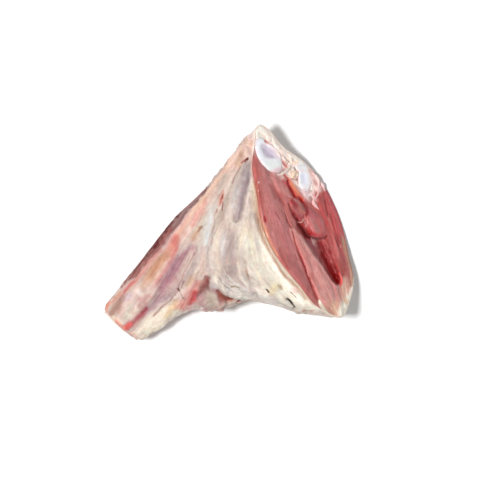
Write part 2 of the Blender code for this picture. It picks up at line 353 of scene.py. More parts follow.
def paintOver(colour, plan, strokes, light=1, ragged=None, softer=0.0):
    # lays the strokes one over another; softer spreads the edges of all but the thin ones
    for _, path, wide, shown, _, soft, strength in map(stroke, strokes):
        if shown:
            blend = softer if np.max(wide) > brush["thin"] else 0.0
            wider = np.asarray(wide) * (1 + brush["spread"] * blend)
            weight = strokeWeight(plan, path, wider, min(1.0, soft + blend), ragged)[:, None]
            colour = blended(colour, baseOf(shown, light), strength * weight)
    return colour


def reliefOf(plan, strokes):
    height = np.zeros(len(plan))
    for _, path, wide, _, rise, soft, _ in map(stroke, strokes):
        if rise:
            height += rise * strokeWeight(plan, path, wide, max(soft, brush["leastSoft"]))
    return height


def combed(plan, guides):
    # a place in the grain: how far across the fibres and how far along them, and the way they run. Each guide
    # tells both as if its fibre ran straight past the point, and the nearest guides count most.
    total = np.zeros((len(plan), 1))
    sums = np.zeros((len(plan), 4))
    for value, path in guides:
        spots = seen(path)
        best = np.full(len(plan), farAway)
        told = np.zeros((len(plan), 4))
        run = 0.0
        for i, (start, end) in enumerate(zip(spots[:-1], spots[1:])):
            length = np.linalg.norm(end - start)
            way = (end - start) / length
            low = -farAway if i == 0 else 0.0
            high = farAway if i == len(spots) - 2 else length
            kept = np.clip((plan - start) @ way, low, high)
            away = np.linalg.norm(plan - start - kept[:, None] * way, axis=1)
            side = np.sign((plan - start) @ (-way[1], way[0]))
            now = np.column_stack([value + side * away, run + kept, np.tile(way, (len(plan), 1))])
            told = np.where((away < best)[:, None], now, told)
            best = np.minimum(best, away)
            run += length
        weight = 1 / (best[:, None] ** 2 + fibres["blend"])
        total += weight
        sums += told * weight
    sums /= total
    return sums[:, 0], sums[:, 1], unit(sums[:, 2:])


def grainOf(fibre, along, depth):
    return np.stack([fibre, along / fibres["stretch"], depth], -1)


def frayed(points, fibre, along, way, seed, run, wander):
    # where each point looks for its colour: moved along its fibre by a step that changes from fibre to fibre,
    # and a little in any direction
    stepSize, stepOctaves = fibres["step"]
    size, octaves = fibres["drift"]
    step = cloud(grainOf(fibre, along, fibre * 0), stepSize, seed, stepOctaves) * run
    drift = [cloud(points, size, seed + 1, octaves), cloud(points, size, seed + 2, octaves)]
    return points[:, :2] + way * step[:, None] + np.stack(drift, -1) * wander


def noiseOf(look, grain, flat):
    # a column for each layer of noise: two sizes of streak along the grain, hairs in it, and mottling
    return {"streak": cloud(grain, *look["streak"])[:, None], "wide": cloud(grain, *look["wide"])[:, None],
            "hair": cloud(grain * fibres["across"], *look["hair"])[:, None],
            "mottle": cloud(flat, *look["mottle"])[:, None]}


def layered(noise, amounts):
    return sum(noise[key] * amount for key, amount in amounts.items())


def tissueColour(look, strokes, light, flat, asked, noise):
    # the ground colour with the strokes over it, their edges frayed by noise
    byStreak, byCloud = look["raggedBy"]
    ragged = byStreak * noise["streak"][:, 0] + byCloud * cloud(flat, *look["ragged"])
    ground = np.tile(baseOf(look["ground"], light), (len(flat), 1))
    return paintOver(ground, asked, strokes, light, ragged, look["softer"])


def textured(colour, look, noise):
    # the streaks and hairs lighten and darken the colour, and the mottling tints it
    colour = colour * (1 + layered(noise, look["shade"]))
    return colour * (1 + noise["mottle"] * look["mottleTint"])


def sectionFrame(s):
    # a section's shin edge, the way across it, its length, and the way up in its own leaning plane
    shinX, shinY, calfX, calfY, height = [smoothCurve(shank["station"], shank[k], s)
                                          for k in ("shinX", "shinY", "calfX", "calfY", "axisHeight")]
    run = np.stack([calfX - shinX, calfY - shinY], -1)
    length = np.linalg.norm(run, axis=-1)
    run = run / length[..., None]
    lean = np.radians(shank["cutTilt"]) * s ** shank["leanPower"]
    up = np.stack([run[..., 1] * np.sin(lean), -run[..., 0] * np.sin(lean), np.cos(lean)], -1)
    across = np.stack([run[..., 0], run[..., 1], np.zeros_like(length)], -1)
    return np.stack([shinX, shinY, height], -1) + shank["toOrigin"], across, length, up


def endWays(s):
    # at the saw (0) or the cut (1): the way across, the way up in the section, and the way out of the meat
    _, across, _, up = sectionFrame(np.array(float(s)))
    return across, up, np.cross(up, across) * (1 if s else -1)


def edgeHeights(s, share):
    # how far the section's top and belly stand off its middle line: an oval, filled out as the rim is
    bow = 2 * np.sqrt(np.clip(share * (1 - share), 0, 1))
    nearCut = s ** shank["rimBellyReach"]
    top = blended(1, smoothCurve(shank["rimTopAt"], shank["rimTopFull"], share), s)
    belly = blended(1, smoothCurve(shank["rimBellyAt"], shank["rimBellyFull"], share), nearCut)
    top = bow * top * smoothCurve(shank["station"], shank["topHeight"], s)
    belly = bow * belly * smoothCurve(shank["station"], shank["bellyDepth"], s)
    return top, belly


def flankAt(s, angle):
    # a point of the meat's outside: from the shin edge across by the share that the angle gives, then up or
    # down in the section's plane, and never below the table
    shin, across, length, up = sectionFrame(s)
    share = (1 - np.cos(angle)) / 2
    top, belly = edgeHeights(s, share)
    height = np.where(np.sin(angle) >= 0, top, -belly)
    return overTable(shin + across * (length * share)[..., None] + up * height[..., None])


def overTable(points, lowest=0.0):
    points[..., 2] = np.maximum(points[..., 2], lowest)
    return points


def gridNormals(points):
    # outward normals of a grid whose columns close on themselves, from the cross product of its two ways
    around = np.roll(points, -1, axis=1) - np.roll(points, 1, axis=1)
    return unit(np.cross(around, np.gradient(points, axis=0)))


def foldStep(base, upper):
    # beyond the fold's line, seen from above, the flank drops by a step with a soft shoulder
    x = base[..., 0] - shank["toOrigin"][0]
    y = base[..., 1] - shank["toOrigin"][1]
    line = np.interp(x, fold["x"], fold["y"])
    below = 1 / (1 + np.exp(-(line - y) / fold["soft"]))
    along = smoothStep(0, 1, (x - fold["x"][0]) / fold["runIn"])
    along = along * smoothStep(0, 1, (fold["x"][-1] - x) / fold["runOut"])
    return fold["step"] * below * along * upper


# How the fibres of the skin run, from the shin edge to the cut's rim: how far across, and the path.
skinGuides = [
    (0, [(108, 300), (122, 285), (147, 254), (180, 211), (212, 180), (250, 130)]),
    (12, [(126, 312), (148, 283), (176, 242), (205, 202), (226, 172), (252, 138)]),
    (28, [(142, 335), (160, 315), (180, 285), (197, 250), (212, 214), (228, 185), (247, 158)]),
    (40, [(190, 310), (205, 290), (213, 268), (222, 238), (236, 205), (249, 170)]),
    (53, [(262, 303), (244, 292), (235, 275), (235, 255), (243, 225), (252, 185)]),
    (72, [(326, 316), (305, 300), (288, 280), (272, 255), (262, 228), (255, 195)]),
]

# How the fibres of the cut run, from the left rim to the right one.
cutGuides = [
    (0, [(325, 312), (305, 297), (285, 268), (268, 235), (258, 200), (253, 160)]),
    (-12, [(317, 296), (303, 262), (291, 235), (280, 205), (266, 168)]),
    (-22, [(336, 290), (326, 268), (312, 240), (298, 205), (285, 178)]),
    (-32, [(343, 290), (341, 265), (333, 240), (322, 215), (308, 190)]),
    (-43, [(350, 298), (351, 270), (345, 240), (336, 212), (322, 185)]),
]

skinStrokes = [
    ("grey lilac of the middle", [(232, 238), (232, 256), (232, 272)], [6, 10, 7], (182, 163, 158), -1),
    ("cream of the waist", [(214, 196), (209, 220), (208, 250), (214, 272)], [4, 7, 9, 6], (209, 195, 186)),
    ("yellow streak", [(219, 224), (217, 248), (220, 270)], [1.2, 2, 1.6], (222, 208, 186), 0.4, 1, 0.6),
    ("white streak", [(211, 206), (209, 220), (206.6, 238), (207, 256)], [1.6, 3.2, 3.2, 1.2],
     (226, 219, 213), 0.3, 1, 0.9),
    ("bluish line in it", [(212, 214), (209.4, 228), (207, 242)], [0.6, 1, 0.6], (214, 214, 216), 0.2, 1,
     0.8),
    ("grey line beside it", [(215.4, 214), (213.6, 230), (212, 246)], [0.5, 0.9, 0.5], (190, 172, 160), -0.3,
     1, 0.8),
    ("second white streak", [(227, 216), (225, 231), (223, 246), (222, 258)], [0.5, 1.6, 1.4, 0.5],
     (226, 218, 212), 0.2, 1, 0.65),
    ("dark lilac streak", [(233, 238), (231, 250), (229, 262)], [0.8, 2.2, 1.2], (176, 159, 156), -0.4, 1,
     0.7),
    ("second lilac streak", [(236, 246), (240, 256), (244, 264)], [1.4, 2.4, 1.4], (186, 168, 163), -0.3, 1,
     0.7),
    ("blue-grey streak", [(225, 250), (224, 262)], 1.2, (198, 190, 192), 0.1, 1, 0.6),
    ("pale streak", [(238, 262), (242, 276), (248, 288)], [1, 1.8, 1], (222, 213, 204), 0.3, 1, 0.7),
    ("cream streak", [(245, 226), (247, 244), (251, 262)], [2.6, 3.4, 2.4], (236, 228, 214), 0.4, 1, 0.8),
    ("pink streak", [(203, 250), (203, 276)], 2.2, (220, 192, 183), 0.3, 1, 0.7),
    ("grey streak", [(208, 246), (208, 268)], 1.2, (192, 176, 172), -0.4, 0.8, 0.8),
    ("lobe", [(252, 228), (258, 250), (274, 278), (300, 303)], [10, 15, 15, 9], (234, 226, 210), 1.8, 0.45),
    ("lobe's shoulder", [(250, 196), (252, 214), (252, 226)], [4, 7, 9], (220, 204, 192), 1.4, 0.4),
    # Painted highlight: a pale line along the lobe's edge by the rim, where light catches the wet fat.
    ("lobe's bright edge", [(262, 234), (270, 256), (284, 276), (302, 298), (318, 310)], [2.5, 6, 7, 5, 2.4],
     (252, 242, 226), 0.6, 0.8),
    ("lobe's low side", [(258, 292), (276, 302), (298, 307)], [4, 5, 3], (238, 230, 218)),
    ("grey dip of the lobe", [(256, 240), (259, 251)], [2, 3], (216, 204, 196), -0.6, 0.9, 0.8),
    ("rim's brown line", [(256, 184), (256.6, 203), (259, 220), (263, 238), (269, 250), (280, 269),
     (295, 285), (306, 298)], [1, 1.6, 2.6, 2.2, 1.2, 1, 1, 1], (202, 152, 122), 0, 0.9, 0.8),
    ("grey of the hood", [(210, 270), (212, 279), (214, 287)], [2, 3.6, 2.4], (206, 194, 188), 0.2, 1),
    ("pale folds below", [(218, 277), (225, 285), (237, 290), (250, 295)], [3, 4.4, 4, 3], (224, 216, 206)),
    ("grey folds below", [(243, 262), (248, 280), (256, 294)], [2.4, 2.4, 1.6], (204, 191, 182), -0.8, 0.8,
     0.8),
    ("apex fat", [(250, 136), (257, 129), (264, 129)], [6, 7, 6], (254, 238, 229)),
    ("apex pink", [(252, 139), (252, 157)], 2.2, (238, 202, 196), 0.4),
    ("shin ridge", [(247, 148), (226, 172), (206, 200), (190, 221), (178, 238)], [6, 6, 5.5, 6, 5.5],
     (236, 198, 182), 1.4, 0.6),
    ("ridge, peach", [(247, 147), (240, 156), (233, 166)], [5, 5, 4], (252, 216, 200)),
    ("ridge, brown", [(243, 156), (238, 166)], 2, (216, 176, 152), 0, 0.8, 0.8),
    ("ridge, grey", [(228, 178), (221, 190), (219, 200)], [2.5, 2.5, 2], (208, 188, 176), 0, 0.8, 0.9),
    ("ridge, yellow", [(205, 200), (194, 214), (184, 227)], [2.5, 3, 3], (233, 200, 176)),
    ("ridge, salmon", [(207, 202), (201, 213), (194, 225)], [1.6, 2.6, 2], (224, 162, 152), 0, 1, 0.8),
    ("ridge, orange", [(190, 218), (183, 229), (177, 238)], [2.4, 3.4, 3.4], (234, 180, 160), 0, 1, 0.85),
    ("brown patch", [(200, 229), (194, 238)], [1.5, 3], (204, 164, 140), 0, 0.8, 0.9),
    ("brown patch's spot", [(201, 228), (198, 232)], [1.2, 0.6], (164, 126, 108), -0.4, 0.8),
    ("left edge", [(226, 166), (214, 180), (205, 188)], [1.4, 1.8, 2], (196, 172, 165), 0, 0.8, 0.8),
    ("lilac beside the maroon", [(200, 196), (184, 214), (166, 236), (150, 256), (135, 275)],
     [4, 5.4, 6.4, 6, 4], (206, 166, 160), -0.6, 1),
    ("maroon strip", [(203, 190), (190, 203), (176, 219), (161, 238), (147, 255), (133, 272), (120, 287)],
     [2.8, 4, 4.6, 4.8, 4.6, 3.8, 1.8], (160, 98, 92), -0.8),
    ("maroon's grey top", [(206, 188), (195, 199), (184, 211), (173, 225)], [2, 3.6, 4.2, 3], (158, 122, 119),
     0, 1, 0.95),
    ("maroon's dark edge", [(183, 206), (170, 220), (156, 238), (142, 256), (130, 272)],
     [1.2, 2.6, 3, 2.8, 1.4], (102, 38, 34)),
    ("maroon, paler low", [(141, 265), (130, 277)], [3, 3], (158, 104, 100), 0, 0.8, 0.8),
    ("pale strip", [(196, 208), (184, 223), (168, 242), (152, 261), (138, 277), (124, 290)], 1.8,
     (222, 182, 176), 0.5, 1, 0.8),
    ("red blotch", [(178, 237), (175, 243)], [2.6, 4.2], (214, 122, 113), 0.3, 1, 0.9),
    ("salmon below the blotch", [(172, 248), (164, 258), (154, 268)], [3.4, 3.2, 2], (222, 148, 130), 0, 0.9,
     0.85),
    ("salmon streak", [(177, 248), (172, 260), (166, 270), (159, 279)], [2, 2.2, 2, 1.6], (222, 138, 130), 0,
     1, 0.9),
    ("tan muscle", [(166, 256), (158, 266), (151, 276), (145, 286)], [4.2, 5.2, 5.2, 3.6], (203, 152, 124), 1,
     1),
    ("tan's pale end", [(148, 280), (144, 288)], [2.4, 3], (222, 182, 158), 0, 0.9, 0.9),
    ("pink beside the tan", [(158, 282), (152, 290)], [2.6, 2.6], (212, 150, 142), 0, 0.8, 0.9),
    ("orange strip", [(161, 249), (150, 262), (139, 276), (130, 287), (121, 297)], [1.6, 1.8, 2.4, 2.6, 1.8],
     (216, 148, 138), 0.3, 1, 0.8),
    ("orange strip's red", [(134, 282), (125, 292)], [1.2, 1.5], (208, 116, 112), 0, 1, 0.9),
    ("mottled end", [(150, 291), (138, 299), (126, 311)], [6.4, 8.6, 8.6], (212, 186, 176), 0.8),
    ("mottled, rosy", [(146, 303), (134, 312)], [2.4, 3], (198, 162, 156), -0.3, 1),
    ("mottled, lilac", [(130, 296), (124, 301)], [2.6, 2.6], (204, 182, 186), 0.2, 1),
    ("mottled, cream", [(128, 317), (137, 309)], [2.2, 2.2], (232, 214, 196), 0.4, 1),
    ("mottled, pink", [(150, 296), (141, 299)], [2, 2.4], (204, 160, 154), 0, 0.9, 0.9),
    ("mottled, pale", [(138, 291), (141, 294)], 2, (232, 210, 202), 0, 0.9, 0.9),
    ("mottled, grey", [(131, 306), (126, 318)], 2.4, (202, 190, 174), 0, 0.9, 0.8),
    ("grey brown end", [(120, 300), (116, 308), (111, 314)], [4.4, 5.4, 4], (180, 142, 128), -0.4, 0.8),
    ("pink edge of the end", [(120, 294), (110, 302)], [2, 2.4], (216, 160, 142), 0, 0.8),
    ("orange tip", [(107, 303), (104, 310)], [2, 2], (226, 142, 118), 0, 0.8),
    ("cream tip", [(112, 317), (121, 324)], 1.6, (238, 216, 194), 0.4, 0.8),
    ("lilac band", [(192, 248), (185, 258), (177, 271), (170, 284), (161, 297), (152, 307), (145, 312)],
     [4, 6, 8, 7.4, 5, 3.2, 2.2], (186, 152, 156), -1.2, 1),
    ("lilac band's dark", [(184, 254), (175, 266), (168, 279), (162, 288)], [2.6, 4.2, 4.4, 3],
     (172, 122, 134), -0.5, 1, 0.85),
    ("lilac band's pale side", [(190, 260), (183, 274), (177, 288), (165, 300)], [2, 3.4, 4, 2.4],
     (180, 156, 157), 0.3, 1),
    ("crimson band", [(147, 308), (141, 315), (134, 322), (127, 328)], [1.6, 2.6, 2.8, 2.8], (178, 96, 102),
     -0.6, 1),
    ("crimson's end", [(131, 324), (125, 329)], [1.6, 2.2], (230, 112, 106), 0, 1, 0.95),
    ("pink tip", [(116, 322), (122, 328)], 2, (234, 150, 136), 0, 0.8, 0.9),
    ("pale ground of the waist", [(192, 262), (190, 277)], [6, 7], (200, 180, 172)),
    ("beige patch", [(191, 278), (188, 285)], 2.6, (204, 174, 152), -0.3, 0.8),
    ("lilac patch", [(190, 291), (186, 298)], [4, 3], (206, 182, 182), 0.5, 0.7),
    ("cream foot", [(138, 336), (152, 327), (166, 317), (178, 308)], [4.4, 7, 6.6, 4.4], (252, 240, 220), 1.4,
     0.6),
    ("foot's yellow", [(166, 315), (173, 306), (177, 302)], [2, 2.6, 2], (228, 198, 158), 0, 0.9, 0.8),
    ("foot's peach", [(176, 307), (184, 304)], 2.4, (230, 184, 156), 0, 0.9, 0.9),
    ("foot's pink point", [(133, 334), (138, 338)], 2, (244, 206, 186), 0, 0.9, 0.9),
    ("red of the hock", [(198, 284), (192, 296), (183, 304)], [4, 5.4, 4.4], (228, 162, 152), 0.4, 0.8),
    ("deep red of the hock", [(196, 292), (193, 298), (190, 303)], [2.2, 3, 2], (208, 96, 96), -0.3),
    # Painted shade: the hollow by the hock and its right side are painted darker where shade falls in it.
    ("dark hollow", [(207.4, 279), (204, 287), (200.6, 296)], [2.6, 4.2, 2.8], (156, 98, 96), -1.8, 0.7),
    ("dark hollow's right side", [(208.6, 282), (207.6, 289), (203, 298)], [1, 1.4, 1.2], (128, 78, 76), -0.6,
     0.8, 0.9),
    ("flap", [(207, 302), (213, 299), (219, 302)], [6, 8, 6], (215, 191, 181), 2.6, 0.6),
    ("flap's tail", [(222, 304), (234, 304), (246, 303)], [2.6, 1.8, 1.2], (208, 190, 174), 0.6, 0.6),
    ("flap's beige", [(211, 293), (213, 300)], [2.6, 3.4], (196, 184, 166), 0, 0.9, 0.95),
    ("flap, rosy", [(201, 299), (203, 305)], 2.8, (186, 146, 146), 0, 0.8, 0.9),
    ("flap's rosy neck", [(215, 289), (219, 294), (220, 301)], [1.8, 2, 2], (196, 152, 146), 0, 0.9, 0.9),
    ("flap's lower side", [(210, 308), (216, 309), (222, 306)], [2.4, 3, 2], (176, 140, 134), 0, 0.7, 0.9),
    ("flap's white edge", [(199, 305.6), (204, 308.6), (211, 311)], 1.1, (238, 220, 214), 0.3, 0.7),
    ("red under the fold", [(218, 290), (223, 297), (232, 300), (246, 300)], [1.4, 2.4, 1.8, 1],
     (168, 98, 84), -1.4, 0.5),
    # Painted shade: the crease under the fold is painted dark where shade falls in it.
    ("crease under the fold", [(229, 298), (238, 299.5), (248, 299)], 0.9, (146, 74, 76), -0.8, 0.5),
    ("fold's pale edge", [(217, 280), (224, 290), (236, 296), (250, 299)], 1.3, (222, 214, 204), 1, 0.8),
    # Painted shade: the fold's second and third creases are painted as darker lines of shade.
    ("fold's second crease", [(218, 276), (226, 285), (235, 290)], [0.4, 0.7, 0.4], (188, 172, 164), -0.3,
     0.9, 0.8),
    ("pale line in the folds", [(219, 272), (227, 285), (239, 292), (252, 296)], [0.4, 1.1, 1.1, 0.4],
     (232, 225, 217), 0.4, 1, 0.8),
    ("second pale line", [(224, 270), (232, 281), (243, 288), (254, 293)], [0.4, 1.1, 1.1, 0.4],
     (230, 223, 215), 0.4, 1, 0.8),
    ("fold's third crease", [(224, 280), (234, 288), (246, 293)], [0.4, 0.6, 0.4], (198, 182, 174), -0.2, 0.9,
     0.7),
    ("window", [(248, 165), (244.6, 181), (241.4, 199), (238.6, 214), (235.6, 222)], [3, 5.6, 6.2, 4.4, 1.6],
     (184, 169, 168), -1.6, 0.45),
    ("window's dark side", [(248, 174), (245, 190), (242, 204), (239, 217)], [1.2, 3, 2.8, 1],
     (162, 145, 147), -0.6, 1),
    ("window's pale side", [(238, 184), (235, 198), (234, 211)], [1.8, 2.4, 2], (208, 198, 193), 0.3),
    ("window's upper line", [(241, 166), (236, 175), (232.5, 184)], 0.9, (176, 144, 138), -0.6, 0.6, 0.9),
    ("right of the window", [(254, 176), (249.4, 190), (246, 206), (243.6, 222)], [1.6, 2.2, 2.4, 2.2],
     (230, 213, 203), 1.2, 0.6),
    ("loop round the window", [(227, 202), (229, 214), (233, 224), (238, 227)], [2.4, 3, 3, 2],
     (214, 198, 187), 0.8, 0.9, 0.8),
    ("strand left of the window", [(233, 186), (228, 196), (225, 212)], 1.4, (206, 188, 176), 0.6, 0.7),
    ("beige below the wound", [(221, 213), (224, 223), (227, 232)], [3, 5, 3], (202, 182, 169), -0.3, 1),
    ("cream by the rim", [(254, 180), (253, 196), (254, 210)], 2, (234, 210, 186), 0.3, 0.8, 0.9),
    ("small red wound", [(222.8, 191), (221.6, 199), (219.4, 206)], [0.8, 2.1, 1], (214, 148, 134), -0.2, 1,
     0.9),
    ("wound's upper spot", [(222.6, 195.4), (222, 198.8)], [0.6, 0.9], (138, 58, 52), -0.3, 0.7, 0.9),
    ("wound's lower line", [(221, 199.6), (219.4, 204)], 0.6, (178, 100, 88), -0.3, 0.8, 0.9),
    ("wound's lower spot", [(222.8, 203), (222.2, 211)], [0.5, 0.9], (150, 80, 68), -0.3, 0.8, 0.9),
    ("brown spot", [(217, 210), (216.5, 213)], 0.9, (180, 146, 130), 0, 0.7),
    ("dark red dot", [(247.6, 160), (244.8, 161.6)], [1.2, 0.9], (110, 34, 34), -0.6, 0.4),
    ("dot's tail", [(245, 161.4), (242.6, 163.4)], 0.7, (188, 116, 100), 0, 0.6),
    ("brown streak", [(245.6, 267), (247.4, 274), (249, 280)], [0.5, 1.2, 0.5], (188, 152, 134), -0.4, 0.9,
     0.85),
    ("lilac line below it", [(249.6, 281), (251.6, 291)], 0.7, (194, 176, 170), -0.3, 0.9, 0.8),
    ("short olive line", [(231, 286.6), (236, 287), (240, 289)], 0.5, (150, 134, 108), -0.3, 0.6),
    ("short grey line", [(224.6, 284), (229, 288)], 0.5, (160, 150, 136), -0.3, 0.6),
    ("yellow of the fat", [(272, 290), (276, 284)], [3, 3], (240, 224, 186), 0.4, 0.9, 0.9),
    ("brown of the fat", [(279, 283), (281, 287)], 1.2, (200, 180, 152), -0.3, 0.8),
    ("pink of the fat", [(292, 288), (295, 291)], 1.8, (234, 200, 190), 0, 0.9, 0.9),
    ("grey line of the fat", [(290, 290.5), (296, 296)], 0.6, (158, 144, 134), -0.5, 0.6),
    # Painted shade: the cracks in the fat, with the dark crack's foot and spot, are painted near black where
    # shade falls down in them.
    ("small dark crack", [(266.6, 288), (269, 291)], [0.9, 0.8], (84, 68, 60), -0.8, 0.4),
    ("grey of the crack", [(285, 297), (288, 297.4)], [0.8, 1.2], (186, 180, 164), -0.3),
    ("dark crack", [(286.6, 297), (289, 298.6), (291.4, 301), (293.6, 304.8)], [0.6, 0.9, 1, 0.9],
     (48, 42, 40), -1, 0.4),
    ("crack's foot", [(293.4, 304.6), (292, 307.4)], 0.8, (64, 54, 48), -0.6, 0.4),
    ("crack's spot", [(289.4, 307.2), (290.4, 307.6)], 0.8, (92, 78, 68), -0.4, 0.4),
    ("pink corner", [(303, 308), (312, 311)], [0.8, 1.2], (216, 160, 142), 0, 0.8, 0.9),
    ("long thin line", [(194.6, 254), (188, 266), (181.6, 281), (178, 290)], [0.8, 0.6, 0.6, 0.8],
     (168, 128, 130), -0.4, 0.8, 0.8),
    ("line's knot", [(178.2, 289.6), (179.4, 291)], [1.1, 0.8], (96, 34, 38), -0.5, 0.5),
    ("line's branch", [(177.6, 291), (172, 299), (163, 307), (154, 316)], [0.9, 0.6, 0.7, 0.9],
     (168, 136, 124), -0.4, 0.8, 0.8),
    ("line's short branch", [(181, 294), (184.6, 300)], 0.7, (160, 124, 122), -0.3, 0.8, 0.8),
    ("line beside the knot", [(184, 281.6), (182, 288)], [0.7, 0.4], (136, 100, 98), -0.3, 0.8, 0.8),
]

